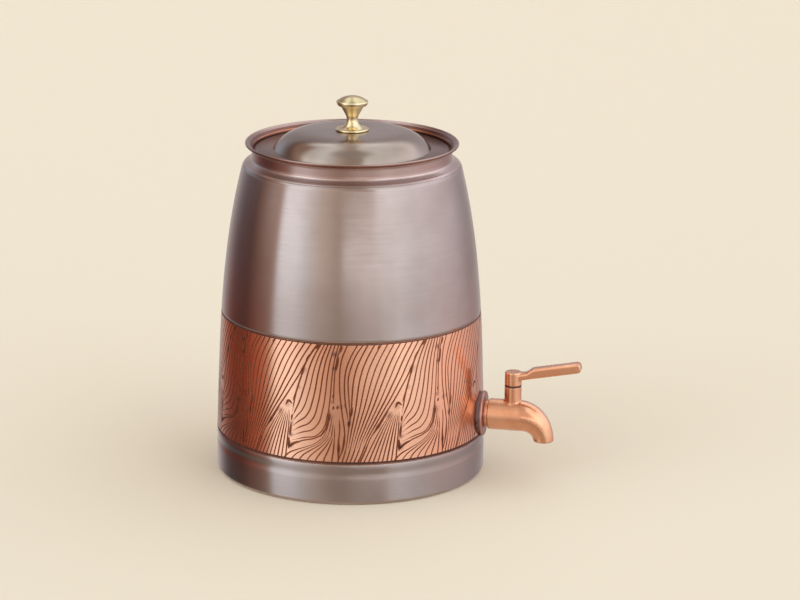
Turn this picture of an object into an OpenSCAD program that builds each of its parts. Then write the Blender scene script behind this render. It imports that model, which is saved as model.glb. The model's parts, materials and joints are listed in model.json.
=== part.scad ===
// Copper water dispenser pot: a spun pot with an etched wall course, a lift-off lid and a lever tap.
// Origin at the middle of the standing face, +Z up, the tap along +X, millimetres.

/* [Pot wall] */
// Outer radius of the foot band
foot_r = 95.2; // [70:0.1:140]
// Height of the foot band
foot_h = 28.6; // [15:0.1:35]
// Radius of the foot band's bottom corner
foot_corner_r = 2.2; // [1:0.1:5]
// Height over which the foot band's top edge rounds in
foot_round_h = 4.4; // [1:0.1:8]
// How far the foot band's top edge rounds in
foot_round_in = 0.6; // [0.2:0.05:0.7]
// Radius of the middle of the ring pressed up into the floor
press_ring_r = 68; // [30:0.5:80]
// Width of the pressed ring at the table
press_ring_w = 12; // [8:0.5:16]
// Height of the pressed ring
press_ring_h = 2.5; // [1:0.1:3]
// Height of the etched wall course
band_h = 86; // [60:0.5:120]
// Height of the crease where the shoulder meets the neck
shoulder_z = 221.5; // [180:0.5:320]
// Radius of the shoulder's roll
shoulder_r = 6; // [3:0.1:15]
// Inward lean of the wall just above the foot band, in degrees
lean_bottom = 2; // [0:0.1:5]
// Inward lean of the wall just below the shoulder, in degrees
lean_top = 14; // [5:0.1:25]
// Thickness of the copper sheet
sheet = 1; // [0.8:0.05:2]
// Height of the lap where one wall course goes inside the next
lap_h = 9; // [4:0.5:12]
// Height of the step that takes a course inside its neighbour
joggle_h = 2.5; // [1:0.1:4]
// Gap filled with braze between two lapped sheets
braze_gap = 0.05; // [0.02:0.01:0.1]
// Bevel on the edges of the etched wall course
edge_bevel = 0.35; // [0.1:0.05:0.5]

/* [Neck] */
// Outer radius of the neck at its waist
neck_r = 70; // [45:0.1:110]
// How much wider the neck is at the crease than at its waist
neck_spread = 1.3; // [0.3:0.1:4]
// Radius of the cove between crease and waist
cove_r = 8.4; // [4:0.1:15]
// Overhang of the rolled rim beyond the neck's waist
lip_w = 4.7; // [4:0.1:12]
// Height of the rim's top above the crease
neck_h = 13.5; // [12:0.1:30]
// Radius of the rim's rolled edge
rim_bead_r = 1; // [0.7:0.05:2]
// Upward slope of the lip, in degrees
lip_slope = 24; // [5:1:45]
// Radius of the fillet under the lip
lip_fillet_r = 3; // [1:0.1:5]
// Depth of the neck's skirt inside the shoulder
skirt_h = 7; // [4:0.5:20]

/* [Lid] */
// Depth of the lid's seat below the rim's top
seat_depth = 6; // [4:0.1:8]
// Width of the seat ring, from the neck to the mouth
seat_w = 7; // [4:0.5:12]
// Depth of the seat ring's brazed leg
seat_leg_h = 3; // [2:0.1:5]
// Clear space between the lid's flange and the neck
lid_clearance = 1.4; // [0.5:0.1:4]
// Thickness of the lid's sheet
lid_sheet = 1; // [0.6:0.05:2]
// Width of the lid's flat flange
flange_w = 12.4; // [6:0.1:20]
// Height of the dome above the flange
dome_h = 13; // [6:0.1:30]
// Slope of the dome where it leaves the flange, in degrees
dome_slope = 57; // [20:1:80]
// Fullness of the dome's edge, as a length along its starting slope
dome_edge_pull = 17; // [6:0.5:24]
// Fullness of the dome's crown, as a length along its level top
dome_crown_pull = 20; // [6:0.5:34]

/* [Knob] */
// Width of the lid's level pad that shows round the knob's foot
knob_pad_w = 0.5; // [0.2:0.1:2]
// Radius of the knob's foot
knob_foot_r = 11.7; // [8:0.1:20]
// Thickness of the knob's foot at its edge
knob_foot_t = 1.5; // [0.6:0.1:2]
// Radius of the knob's neck
knob_neck_r = 3.9; // [3.2:0.1:7]
// Height of the knob's neck above the lid
knob_neck_h = 7.8; // [6:0.1:14]
// Radius of the knob's cap
knob_cap_r = 11.1; // [8:0.1:20]
// Height of the underside of the knob's cap above the lid
knob_cap_h = 17; // [12:0.1:24]
// How far the cap's underside rounds in to the cone
knob_under_w = 3.1; // [1:0.1:5]
// Height of the rounding under the cap's edge
knob_under_h = 3.2; // [1:0.1:6]
// How far the cone under the cap opens past a straight taper, as a multiple of its angle
knob_flare = 1.2; // [1.05:0.05:1.6]
// Rounding of the cap's upper edge
knob_edge_r = 0.8; // [0.4:0.1:2]
// Height of the knob's crown above the cap's edge
knob_crown_h = 3.5; // [2:0.1:8]
// Radius of the knob screw's shank
knob_screw_r = 2; // [1.5:0.05:2.4]
// Radial clearance of the knob screw in the lid and in its washer
knob_screw_gap = 0.25; // [0.1:0.05:0.5]
// Length of the knob screw inside the knob
knob_screw_l = 10; // [6:0.5:14]
// Radius of the knob screw's head
knob_head_r = 3.6; // [3:0.1:6]
// Height of the knob screw's head
knob_head_h = 2.4; // [1.5:0.1:4]
// Radius of the washer under the knob screw's head
knob_washer_r = 6; // [5:0.1:10]
// Thickness of the washer under the knob screw's head
knob_washer_t = 1; // [0.5:0.1:2]

/* [Tap] */
// Height of the tap's axis above the foot band's top
tap_h = 14.5; // [14.5:0.1:45]
// Radius of the threaded shank
shank_r = 8; // [7:0.1:9.5]
// Radial clearance of the shank in the pot's wall
shank_gap = 0.3; // [0.1:0.05:0.8]
// Length of the shank inside the pot's wall
shank_in = 14; // [12:0.5:30]
// Radius of the flange plate
plate_r = 16; // [13:0.1:20]
// Thickness of the flange plate
plate_t = 1.9; // [1.5:0.1:4]
// Rounding of the flange plate's outer edge
plate_round_r = 1; // [0.3:0.1:1.4]
// Radius of the outer gasket
outer_gasket_r = 15.4; // [11:0.1:19]
// Thickness of the outer gasket at the middle of the tap
outer_gasket_t = 0.7; // [0.4:0.1:2]
// Radius of the inner gasket and of its washer
inner_gasket_r = 11.4; // [11:0.1:15]
// Thickness of the inner gasket at its edge
inner_gasket_t = 0.6; // [0.4:0.1:2]
// Thickness of the washer inside the pot
inner_washer_t = 1.2; // [0.6:0.1:2]
// Width of the lock nut across its flats
nut_flats = 19.5; // [19:0.5:24]
// Thickness of the lock nut
nut_t = 6; // [4:0.1:8]
// Radius of the neck between flange plate and barrel
tap_neck_r = 9.6; // [9.5:0.1:10.6]
// Length of the neck between flange plate and barrel
tap_neck_l = 2.7; // [1.5:0.1:6]
// Radius of the barrel
barrel_r = 11; // [10:0.1:14]
// Rounding of the barrel's back edge
barrel_round_r = 0.8; // [0.2:0.1:1.2]
// Distance of the tower's axis from the pot's wall
tower_out = 22.2; // [21.5:0.1:40]
// Radius of the tower
tower_r = 6; // [5.6:0.1:7]
// Height of the tower's top above the tap's axis
tower_h = 21.3; // [19:0.1:30]
// Distance from the tower's axis to where the spout starts to bend
bend_out = 4.6; // [0:0.1:6]
// Radius of the spout's bend at the middle of the bore
bend_r = 17.7; // [17.5:0.1:26]
// Radius of the spout at its outlet
spout_r = 7.2; // [6.5:0.1:9]
// Radius of the water passage through the valve
port_r = 2.8; // [2:0.1:3.2]
// Wall left between the shank's bore and the valve spindle
valve_wall = 2; // [1:0.1:4]
// Radius of the shank's bore
inlet_r = 5; // [3.5:0.1:5.5]
// Radius of the bore at the spout's outlet
outlet_r = 5; // [3.5:0.1:5.4]
// Depth of the bore at the spout's outlet
outlet_l = 5; // [3:0.1:6]

/* [Valve and lever] */
// Radius of the valve spindle
spindle_r = 4; // [3.6:0.05:4.3]
// Radial clearance of the spindle in its bore, and of the other turned fits
run_gap = 0.05; // [0.02:0.01:0.1]
// Depth of the valve chamber below the tap's axis
chamber_d = 6.5; // [5:0.1:7.5]
// Height of the lower sealing ring above the tap's axis
ring_low_h = 6; // [5.5:0.1:7]
// Height of the upper sealing ring above the tap's axis
ring_high_h = 10; // [9:0.1:11]
// Section radius of the sealing rings
ring_section_r = 0.5; // [0.3:0.05:0.6]
// Height of the stop screw above the tap's axis
stop_h = 14; // [13.5:0.1:16]
// Radius of the stop screw's thread
stop_screw_r = 1.5; // [1.2:0.05:1.8]
// Radius of the stop screw's tip
stop_tip_r = 0.9; // [0.6:0.05:1]
// Depth of the stop groove in the spindle
stop_groove_d = 1; // [0.6:0.05:1.2]
// Quarter turn of the lever, in degrees
turn = 90; // [45:1:110]
// Thickness of the black ring between tower and hub
friction_t = 1; // [0.5:0.05:2]
// Radius of the spindle's stem inside the hub
stem_r = 3.2; // [2.5:0.05:3.4]
// Length of the spindle's stem inside the hub
stem_l = 7; // [5:0.1:8]
// Height of the lever's hub
hub_h = 9.8; // [9.2:0.1:16]
// Height of the clamping screw above the hub's underside
lever_screw_h = 4; // [2.5:0.1:5]
// Distance from the hub's axis to the lever's end
lever_l = 49.6; // [30:0.1:80]
// Upward slope of the lever, in degrees
lever_rise = 11; // [0:0.5:15]
// Height of the lever's neck above the hub's underside, at the hub's axis
lever_neck_z = 2.8; // [2.5:0.1:4]
// Thickness of the lever's neck
lever_neck_t = 5.6; // [3:0.1:5.9]
// Distance from the hub's axis to the foot of the lever's ramp
ramp_start = 9.5; // [8:0.1:14]
// Distance from the hub's axis to the top of the lever's ramp
ramp_end = 16.5; // [14.5:0.1:24]
// Thickness of the lever's grip
grip_t = 8; // [6:0.1:12]
// Width of the lever's grip
grip_w = 8.4; // [6:0.1:11]
// Rounding of the grip's long edges
grip_round_r = 2.4; // [0.5:0.1:2.6]
// Rounding of the grip's end
grip_end_r = 3.2; // [1:0.1:3.8]

/* [Hidden] */
$fn = 96;

antique = [0.55, 0.47, 0.45];
bright_copper = [0.85, 0.55, 0.42];
satin_copper = [0.80, 0.54, 0.40];
brass = [0.83, 0.70, 0.45];
steel = [0.70, 0.70, 0.72];
black_rubber = [0.12, 0.11, 0.11];

// Steps along a curved stretch of an outline, and along a long gentle one
arc_steps = 8;
wall_steps = 10;
// Length by which a cutting shape runs past what it cuts, or a joined shape into its neighbour
over = 1;

// Wall outline: a cubic from the foot band to the start of the shoulder's roll
neck_skirt_r = neck_r + neck_spread;
shell_mouth_r = neck_skirt_r + braze_gap;
wall_top_r = shell_mouth_r + shoulder_r * cos(lean_top);
wall_top_z = shoulder_z - shoulder_r + shoulder_r * sin(lean_top);
band_top = foot_h + band_h;
wall_third = (wall_top_z - foot_h) / 3;
wall_low_pull = foot_r - wall_third * tan(lean_bottom);
wall_high_pull = wall_top_r + wall_third * tan(lean_top);
wall_pull = [foot_r, wall_low_pull, wall_high_pull, wall_top_r];

// Rim, seat and lid
rim_r = neck_r + lip_w;
rim_z = shoulder_z + neck_h;
seat_z = rim_z - seat_depth;
mouth_r = neck_r - sheet - seat_w;
flange_r = neck_r - sheet - lid_clearance;
flange_z = seat_z + lid_sheet;
dome_r = flange_r - flange_w;
crown_z = flange_z + dome_h;
knob_pad_r = knob_foot_r + knob_pad_w;
knob_hole_r = knob_screw_r + knob_screw_gap;

// Neck outline
cove_angle = acos(1 - neck_spread / cove_r);
waist_z = shoulder_z + cove_r * sin(cove_angle);
bead_c = [rim_r - rim_bead_r, rim_z - rim_bead_r];
lip_c_r = neck_r + lip_fillet_r;
lip_c_z = bead_c[1] + (lip_c_r - bead_c[0]) * tan(lip_slope) - (sheet / 2 + lip_fillet_r) / cos(lip_slope);
bead_half = asin(sheet / 2 / rim_bead_r);

// Places along the tap, measured from the pot's axis
tap_z = foot_h + tap_h;
wall_x = wall_r(tap_z);
plate_x = wall_x + outer_gasket_t;
neck_x = plate_x + plate_t;
barrel_x = neck_x + tap_neck_l;
tower_x = wall_x + tower_out;
bend_x = tower_x + bend_out;
bend_z = tap_z - bend_r;
outlet_x = bend_x + bend_r;
outer_face_x = max(wall_x, chord_x(outer_gasket_r)) + braze_gap;
inner_face_x = min(wall_x, chord_x(inner_gasket_r)) - sheet - braze_gap;
inner_edge_r = min(wall_r(tap_z - inner_gasket_r), wall_r(tap_z + inner_gasket_r)) - sheet;
inner_gasket_x = sqrt(pow(inner_edge_r, 2) - pow(inner_gasket_r, 2)) - inner_gasket_t;
inner_washer_x = inner_gasket_x - inner_washer_t;
nut_x = inner_washer_x - nut_t;
shank_end_x = wall_x - shank_in;
shank_hole_r = shank_r + shank_gap;
inlet_end_x = tower_x - spindle_r - valve_wall;
shank_fit_r = shank_r + run_gap;

// Levels of the valve and the lever
bore_r = spindle_r + run_gap;
chamber_z = tap_z - chamber_d;
tower_z = tap_z + tower_h;
hub_z = tower_z + friction_t;
hub_top_z = hub_z + hub_h;
stop_z = tap_z + stop_h;
lever_screw_z = hub_z + lever_screw_h;
stem_bore_r = stem_r + run_gap;
ring_r = bore_r - run_gap - ring_section_r - run_gap;
ring_groove_r = ring_r - ring_section_r - run_gap;
stop_floor_r = spindle_r - stop_groove_d;
stop_half_angle = asin((stop_tip_r + run_gap) / stop_floor_r);

// Outer radius of the wall at a height
function wall_r(z) =
    let (t = (z - foot_h) / (wall_top_z - foot_h), s = 1 - t, p = wall_pull)
    s * s * s * p[0] + 3 * s * s * t * p[1] + 3 * s * t * t * p[2] + t * t * t * p[3];

// Radius and inward lean of the wall's chord over a gasket at the tap
function chord_x(half) = (wall_r(tap_z - half) + wall_r(tap_z + half)) / 2;
function chord_lean(half) = (wall_r(tap_z - half) - wall_r(tap_z + half)) / (2 * half);

// Points down or up the wall between two heights, moved in by a distance
function wall_points(from, to, inset) =
    [for (i = [0 : wall_steps]) let (z = from + (to - from) * i / wall_steps) [wall_r(z) - inset, z]];

// Points along an arc
function arc(centre, radius, from, to) =
    [for (i = [0 : arc_steps]) let (a = from + (to - from) * i / arc_steps)
        centre + radius * [cos(a), sin(a)]];

// Points along a cubic curve with two pull points
function cubic(a, b, c, d) =
    [for (i = [0 : wall_steps]) let (t = i / wall_steps, s = 1 - t)
        s * s * s * a + 3 * s * s * t * b + 3 * s * t * t * c + t * t * t * d];

// A solid turned round the upright axis
module turned(points) {
    rotate_extrude() polygon(points);
}

// A round bar or hole along the tap between two distances from the pot's axis
module along_tap(from, to, radius) {
    translate([from, 0, tap_z]) rotate([0, 90, 0]) cylinder(r = radius, h = to - from);
}

// An upright round bar or hole on the tower's axis
module on_tower(from, to, radius) {
    translate([tower_x, 0, from]) cylinder(r = radius, h = to - from);
}

// The space inside a cone that lies along the wall at the tap, between two heights above and below it
module wall_cone(half, radius, lean) {
    translate([0, 0, tap_z - half])
        cylinder(r1 = radius + half * lean, r2 = radius - half * lean, h = 2 * half, $fn = 360);
}

module base_pan() {
    corner_c = [foot_r - foot_corner_r, foot_corner_r];
    edge_c = [foot_r - foot_round_in, foot_h - foot_round_h];
    edge = [for (p = arc([0, 0], 1, 0, 90)) edge_c + [p[0] * foot_round_in, p[1] * foot_round_h]];
    // The pressed ring rises at 45 degrees on both sides, and its top is the sheet's thickness above
    foot_half = press_ring_w / 2;
    top_half = foot_half - press_ring_h;
    shift = sheet * tan(22.5);
    under_ring = [
        [press_ring_r - foot_half, 0], [press_ring_r - top_half, press_ring_h],
        [press_ring_r + top_half, press_ring_h], [press_ring_r + foot_half, 0]
    ];
    over_ring = [
        [press_ring_r + foot_half + shift, sheet], [press_ring_r + top_half + shift, press_ring_h + sheet],
        [press_ring_r - top_half - shift, press_ring_h + sheet], [press_ring_r - foot_half - shift, sheet]
    ];
    outside = concat([[0, 0]], under_ring, arc(corner_c, foot_corner_r, -90, 0), edge);
    inside = concat(
        [[foot_r - sheet, foot_h]],
        arc(corner_c, foot_corner_r - sheet, 0, -90),
        over_ring,
        [[0, sheet]]
    );
    color(antique) turned(concat(outside, inside));
}

module etched_band() {
    low_r = foot_r - sheet - braze_gap;
    high_inset = sheet + braze_gap;
    lap_z = band_top + lap_h;
    outside = concat(
        [[low_r, foot_h - lap_h], [low_r, foot_h], [wall_r(foot_h) - edge_bevel, foot_h]],
        wall_points(foot_h + edge_bevel, band_top - edge_bevel, 0),
        [[wall_r(band_top) - edge_bevel, band_top]],
        wall_points(band_top, lap_z, high_inset)
    );
    inside = concat(
        wall_points(lap_z, band_top, high_inset + sheet),
        wall_points(band_top - joggle_h, foot_h + joggle_h, sheet),
        [[low_r - sheet, foot_h], [low_r - sheet, foot_h - lap_h]]
    );
    color(bright_copper) difference() {
        turned(concat(outside, inside));
        along_tap(wall_x - shank_in, wall_x + over, shank_hole_r);
    }
}

module upper_shell() {
    roll_c = [shell_mouth_r, shoulder_z - shoulder_r];
    outside = concat(
        [[wall_r(band_top) - edge_bevel, band_top]],
        wall_points(band_top + edge_bevel, wall_top_z, 0),
        arc(roll_c, shoulder_r, lean_top, 90)
    );
    inside = concat(
        arc(roll_c, shoulder_r - sheet, 90, lean_top),
        wall_points(wall_top_z - sheet, band_top, sheet)
    );
    color(antique) turned(concat(outside, inside));
}

module neck_collar() {
    cove_c = [neck_r + cove_r, waist_z];
    lip_c = [lip_c_r, lip_c_z];
    outside = concat(
        [[neck_skirt_r, shoulder_z - skirt_h]],
        arc(cove_c, cove_r, 180 + cove_angle, 180),
        arc(lip_c, lip_fillet_r, 180, 90 + lip_slope),
        arc(bead_c, rim_bead_r, lip_slope - 180 + bead_half, lip_slope),
        arc(bead_c, rim_bead_r, lip_slope, lip_slope + 180 - bead_half)
    );
    inside = concat(
        arc(lip_c, lip_fillet_r + sheet, 90 + lip_slope, 180),
        arc(cove_c, cove_r + sheet, 180, 180 + cove_angle),
        [[neck_skirt_r - sheet, shoulder_z - skirt_h]]
    );
    color(antique) turned(concat(outside, inside));
}

module lid_seat_ring() {
    leg_r = neck_r - sheet - braze_gap;
    color(antique) turned([
        [mouth_r, seat_z], [mouth_r, seat_z - sheet], [leg_r - sheet, seat_z - sheet],
        [leg_r - sheet, seat_z - seat_leg_h], [leg_r, seat_z - seat_leg_h], [leg_r, seat_z]
    ]);
}

// Outer surface of the dome, from the flange to the knob's level pad
function dome_points(sink) =
    let (edge = [dome_r, flange_z - sink], crown = [knob_pad_r, crown_z - sink])
    cubic(
        edge,
        edge + dome_edge_pull * [-cos(dome_slope), sin(dome_slope)],
        crown + [dome_crown_pull, 0],
        crown
    );

module lid_dome() {
    outside = concat([[flange_r, seat_z], [flange_r, flange_z]], dome_points(0), [[knob_hole_r, crown_z]]);
    under = dome_points(lid_sheet);
    steps = len(under) - 1;
    inside = concat(
        [[knob_hole_r, crown_z - lid_sheet]],
        [for (i = [steps : -1 : 1]) under[i]],
        [[dome_r - lid_sheet, seat_z]]
    );
    color(antique) turned(concat(outside, inside));
}

module lid_knob() {
    foot = [knob_foot_r, crown_z + knob_foot_t];
    neck_z = crown_z + knob_neck_h;
    cap_z = crown_z + knob_cap_h;
    edge_z = cap_z + knob_under_h;
    cone_r = knob_cap_r - knob_under_w;
    low = [foot[0] - knob_foot_t / 2 - knob_neck_r, neck_z - foot[1]];
    high = [cone_r - knob_neck_r, cap_z - neck_z];
    // Radius of the arc that leaves the neck upright and meets the foot
    low_r = (low[0] * low[0] + low[1] * low[1]) / (2 * low[0]);
    low_end = 180 + (low[0] > low_r ? 180 - asin(low[1] / low_r) : asin(low[1] / low_r));
    // Angle of the cone under the cap, and radius of the arc that leads into it from the upright neck
    flare = knob_flare * atan(high[0] / high[1]);
    high_r = (high[1] - high[0] / tan(flare)) / tan(flare / 2);
    under = [for (p = arc([0, 0], 1, -90, 0)) [cone_r + p[0] * knob_under_w, edge_z + p[1] * knob_under_h]];
    crown_w = knob_cap_r - knob_edge_r;
    crown_r = (crown_w * crown_w + knob_crown_h * knob_crown_h) / (2 * knob_crown_h);
    crown_c = [0, edge_z + knob_edge_r + knob_crown_h - crown_r];
    outline = concat(
        [[0, crown_z], [foot[0] - knob_foot_t / 2, crown_z]],
        arc([foot[0] - knob_foot_t / 2, crown_z + knob_foot_t / 2], knob_foot_t / 2, -90, 90),
        arc([knob_neck_r + low_r, neck_z], low_r, low_end, 180),
        arc([knob_neck_r + high_r, neck_z], high_r, 180, 180 - flare),
        under,
        arc([crown_w, edge_z], knob_edge_r, 0, 90),
        arc(crown_c, crown_r, asin((crown_r - knob_crown_h) / crown_r), 90)
    );
    color(brass) difference() {
        turned(outline);
        translate([0, 0, crown_z - over])
            cylinder(r = knob_screw_r + run_gap, h = over + knob_screw_l + over);
    }
}

module knob_screw() {
    head_z = crown_z - lid_sheet - knob_washer_t;
    color(steel) {
        translate([0, 0, head_z - knob_head_h]) cylinder(r = knob_head_r, h = knob_head_h);
        translate([0, 0, head_z - over])
            cylinder(r = knob_screw_r, h = crown_z + knob_screw_l - head_z + over);
    }
}

module knob_washer() {
    washer_z = crown_z - lid_sheet - knob_washer_t;
    color(steel) difference() {
        translate([0, 0, washer_z]) cylinder(r = knob_washer_r, h = knob_washer_t);
        translate([0, 0, washer_z - over]) cylinder(r = knob_hole_r, h = knob_washer_t + 2 * over);
    }
}

// Section radius of the spout at a share of its bend, level with the barrel and with the outlet
function spout_section(s) = barrel_r + (spout_r - barrel_r) * s * s * (3 - 2 * s);

// The tapered bend of the spout, as rings of points from inside the barrel to the outlet
module spout_bend() {
    sides = 28;
    rings = 14;
    lead = 4;
    skin = 0.05;
    first = [for (k = [0 : sides - 1]) let (q = 360 * k / sides, r = barrel_r - skin)
        [bend_x - lead, r * sin(q), tap_z + r * cos(q)]];
    rest = [for (i = [0 : rings]) let (s = i / rings, a = 90 * (1 - s), r = spout_section(s) - skin)
        for (k = [0 : sides - 1]) let (q = 360 * k / sides, d = bend_r + r * cos(q))
            [bend_x + d * cos(a), r * sin(q), bend_z + d * sin(a)]];
    points = concat(first, rest);
    last = (rings + 1) * sides;
    walls = [for (i = [0 : rings]) for (k = [0 : sides - 1])
        let (a = i * sides + k, b = i * sides + (k + 1) % sides)
        each [[a, b, b + sides], [a, b + sides, a + sides]]];
    caps = [for (k = [1 : sides - 2]) each [[0, k + 1, k], [last, last + k, last + k + 1]]];
    polyhedron(points, concat(walls, caps));
}

module tap_body() {
    // The barrel ends just short of the bend, which starts inside it
    barrel_l = bend_x - over - barrel_x;
    color(satin_copper) difference() {
        union() {
            along_tap(shank_end_x, neck_x + over, shank_r);
            along_tap(neck_x, barrel_x + over, tap_neck_r);
            translate([barrel_x, 0, tap_z]) rotate([0, 90, 0]) turned(concat(
                [[0, 0]],
                arc([barrel_r - barrel_round_r, barrel_round_r], barrel_round_r, -90, 0),
                [[barrel_r, barrel_l], [0, barrel_l]]
            ));
            spout_bend();
            on_tower(tap_z, tower_z, tower_r);
        }
        along_tap(shank_end_x - over, inlet_end_x, inlet_r);
        along_tap(inlet_end_x - over, bend_x, port_r);
        on_tower(chamber_z, tower_z + over, bore_r);
        translate([bend_x, 0, bend_z]) rotate([90, 0, 0])
            rotate_extrude(angle = 90) translate([bend_r, 0]) circle(r = port_r);
        translate([outlet_x, 0, bend_z - over]) cylinder(r = outlet_r, h = outlet_l + over);
        translate([tower_x, 0, stop_z]) rotate([-90, 0, 0])
            cylinder(r = stop_screw_r + run_gap, h = tower_r + over);
    }
}

module tap_escutcheon() {
    color(antique) translate([plate_x, 0, tap_z]) rotate([0, 90, 0]) turned(concat(
        [[shank_fit_r, 0], [plate_r, 0]],
        arc([plate_r - plate_round_r, plate_t - plate_round_r], plate_round_r, 0, 90),
        [[shank_fit_r, plate_t]]
    ));
}

module outer_gasket() {
    color(black_rubber) difference() {
        along_tap(wall_x - shank_in / 2, plate_x, outer_gasket_r);
        along_tap(wall_x - shank_in, plate_x + over, shank_fit_r);
        wall_cone(outer_gasket_r + over, outer_face_x, chord_lean(outer_gasket_r));
    }
}

module inner_gasket() {
    color(black_rubber) difference() {
        intersection() {
            along_tap(inner_gasket_x, wall_x + over, inner_gasket_r);
            wall_cone(inner_gasket_r, inner_face_x, chord_lean(inner_gasket_r));
        }
        along_tap(inner_gasket_x - over, wall_x + 2 * over, shank_fit_r);
    }
}

module inner_washer() {
    color(steel) difference() {
        along_tap(inner_washer_x, inner_gasket_x, inner_gasket_r);
        along_tap(inner_washer_x - over, inner_gasket_x + over, shank_fit_r);
    }
}

module lock_nut() {
    color(brass) difference() {
        translate([nut_x, 0, tap_z]) rotate([0, 90, 0])
            cylinder(r = nut_flats / 2 / cos(30), h = nut_t, $fn = 6);
        along_tap(nut_x - over, inner_washer_x + over, shank_fit_r);
    }
}

module stop_screw() {
    color(steel) translate([tower_x, 0, stop_z]) rotate([-90, 0, 0]) {
        translate([0, 0, bore_r]) cylinder(r = stop_screw_r, h = tower_r - bore_r);
        translate([0, 0, stop_floor_r + run_gap])
            cylinder(r = stop_tip_r, h = tower_r - stop_floor_r - run_gap);
    }
}

// Side outline of the lever's arm, along its own slope, from the hub's axis
module lever_side() {
    polygon(concat(
        [[0, lever_neck_t], [0, 0]],
        arc([lever_l - grip_end_r, grip_end_r], grip_end_r, -90, 0),
        arc([lever_l - grip_end_r, grip_t - grip_end_r], grip_end_r, 0, 90),
        [[ramp_end, grip_t], [ramp_start, lever_neck_t]]
    ));
}

// Cross outline of the lever's arm with its rounded long edges
module lever_cross() {
    half = grip_w / 2 - grip_round_r;
    low = grip_round_r;
    high = grip_t - grip_round_r;
    polygon(concat(
        arc([half, low], grip_round_r, -90, 0),
        arc([half, high], grip_round_r, 0, 90),
        arc([-half, high], grip_round_r, 90, 180),
        arc([-half, low], grip_round_r, 180, 270)
    ));
}

module tap_lever() {
    color(satin_copper) difference() {
        union() {
            on_tower(hub_z, hub_top_z, tower_r);
            translate([tower_x, 0, hub_z + lever_neck_z]) rotate([0, -lever_rise, 0]) intersection() {
                rotate([90, 0, 0]) translate([0, 0, -grip_w]) linear_extrude(2 * grip_w) lever_side();
                rotate([90, 0, 90]) linear_extrude(lever_l + over) lever_cross();
            }
        }
        on_tower(hub_z - over, hub_z + stem_l + run_gap, stem_bore_r);
        translate([tower_x, 0, lever_screw_z]) rotate([-90, 0, 0])
            cylinder(r = stop_screw_r + run_gap, h = tower_r + over);
    }
}

module ring_groove(height) {
    w = ring_section_r + run_gap;
    difference() {
        on_tower(tap_z + height - w, tap_z + height + w, spindle_r + over);
        on_tower(tap_z + height - w - over, tap_z + height + w + over, ring_groove_r);
    }
}

module valve_spindle() {
    w = stop_tip_r + run_gap;
    color(brass) difference() {
        union() {
            on_tower(chamber_z + run_gap, tower_z, spindle_r);
            on_tower(tower_z - over, hub_z + stem_l, stem_r);
        }
        translate([tower_x, spindle_r + over, tap_z]) rotate([90, 0, 0])
            cylinder(r = port_r, h = 2 * (spindle_r + over));
        ring_groove(ring_low_h);
        ring_groove(ring_high_h);
        translate([tower_x, 0, stop_z]) rotate([0, 0, 90 - turn - stop_half_angle])
            rotate_extrude(angle = turn + 2 * stop_half_angle)
                translate([stop_floor_r, -w]) square([spindle_r + over - stop_floor_r, 2 * w]);
    }
}

module spindle_o_rings() {
    color(black_rubber) for (height = [ring_low_h, ring_high_h])
        translate([tower_x, 0, tap_z + height])
            rotate_extrude() translate([ring_r, 0]) circle(r = ring_section_r);
}

module friction_washer() {
    color(black_rubber) difference() {
        on_tower(tower_z + run_gap, hub_z, tower_r - run_gap);
        on_tower(tower_z - over, hub_z + over, stem_bore_r);
    }
}

module lever_screw() {
    color(steel) translate([tower_x, 0, lever_screw_z]) rotate([-90, 0, 0])
        translate([0, 0, stem_bore_r]) cylinder(r = stop_screw_r, h = tower_r - stem_bore_r - run_gap);
}

base_pan();
etched_band();
upper_shell();
neck_collar();
lid_seat_ring();
tap_body();
tap_escutcheon();
outer_gasket();
inner_gasket();
inner_washer();
lock_nut();
stop_screw();
lid_dome();
lid_knob();
knob_screw();
knob_washer();
tap_lever();
valve_spindle();
spindle_o_rings();
friction_washer();
lever_screw();
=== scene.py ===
"""Looks of a copper water dispenser pot: turned shells, an etched wall course, a lid and a cast tap.

Outlines and places are in millimetres in the pot's own frame, and meshes are made in metres.
"""

import json
import logging
import math
from dataclasses import dataclass, field, replace
from enum import Enum
from typing import Callable, ClassVar, Iterable, Sequence

import bmesh
import bpy
import numpy as np
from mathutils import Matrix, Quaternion, Vector
from mathutils.geometry import delaunay_2d_cdt


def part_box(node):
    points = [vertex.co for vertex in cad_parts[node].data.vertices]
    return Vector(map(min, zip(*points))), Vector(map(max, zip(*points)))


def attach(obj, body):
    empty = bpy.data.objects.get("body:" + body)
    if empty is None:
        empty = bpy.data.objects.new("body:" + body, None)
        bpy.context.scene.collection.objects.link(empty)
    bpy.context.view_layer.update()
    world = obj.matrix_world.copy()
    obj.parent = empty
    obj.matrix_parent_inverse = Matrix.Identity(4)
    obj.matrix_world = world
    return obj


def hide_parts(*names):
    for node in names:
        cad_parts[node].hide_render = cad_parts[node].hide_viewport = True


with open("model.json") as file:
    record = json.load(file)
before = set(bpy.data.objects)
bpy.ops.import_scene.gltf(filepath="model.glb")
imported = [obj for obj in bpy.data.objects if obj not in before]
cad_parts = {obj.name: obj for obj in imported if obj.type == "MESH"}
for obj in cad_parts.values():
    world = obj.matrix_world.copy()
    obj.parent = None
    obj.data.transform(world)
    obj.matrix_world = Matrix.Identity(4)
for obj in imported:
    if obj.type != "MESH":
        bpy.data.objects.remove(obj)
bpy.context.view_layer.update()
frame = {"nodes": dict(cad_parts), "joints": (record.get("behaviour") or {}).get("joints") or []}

log = logging.getLogger("dispenser_pot")

Point = tuple[float, float]
Place = tuple[float, float, float]
Shade = tuple[int, int, int]
Colour = tuple[float, float, float, float]
Window = tuple[float, float, float, float]
Array = np.ndarray
Distance = Callable[[Array], Array]
Ribbon = tuple[Array, Array]
Mesh = bpy.types.Mesh
Socket = bpy.types.NodeSocket
Sockets = bpy.types.bpy_prop_collection
Value = Socket | float | Colour

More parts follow.
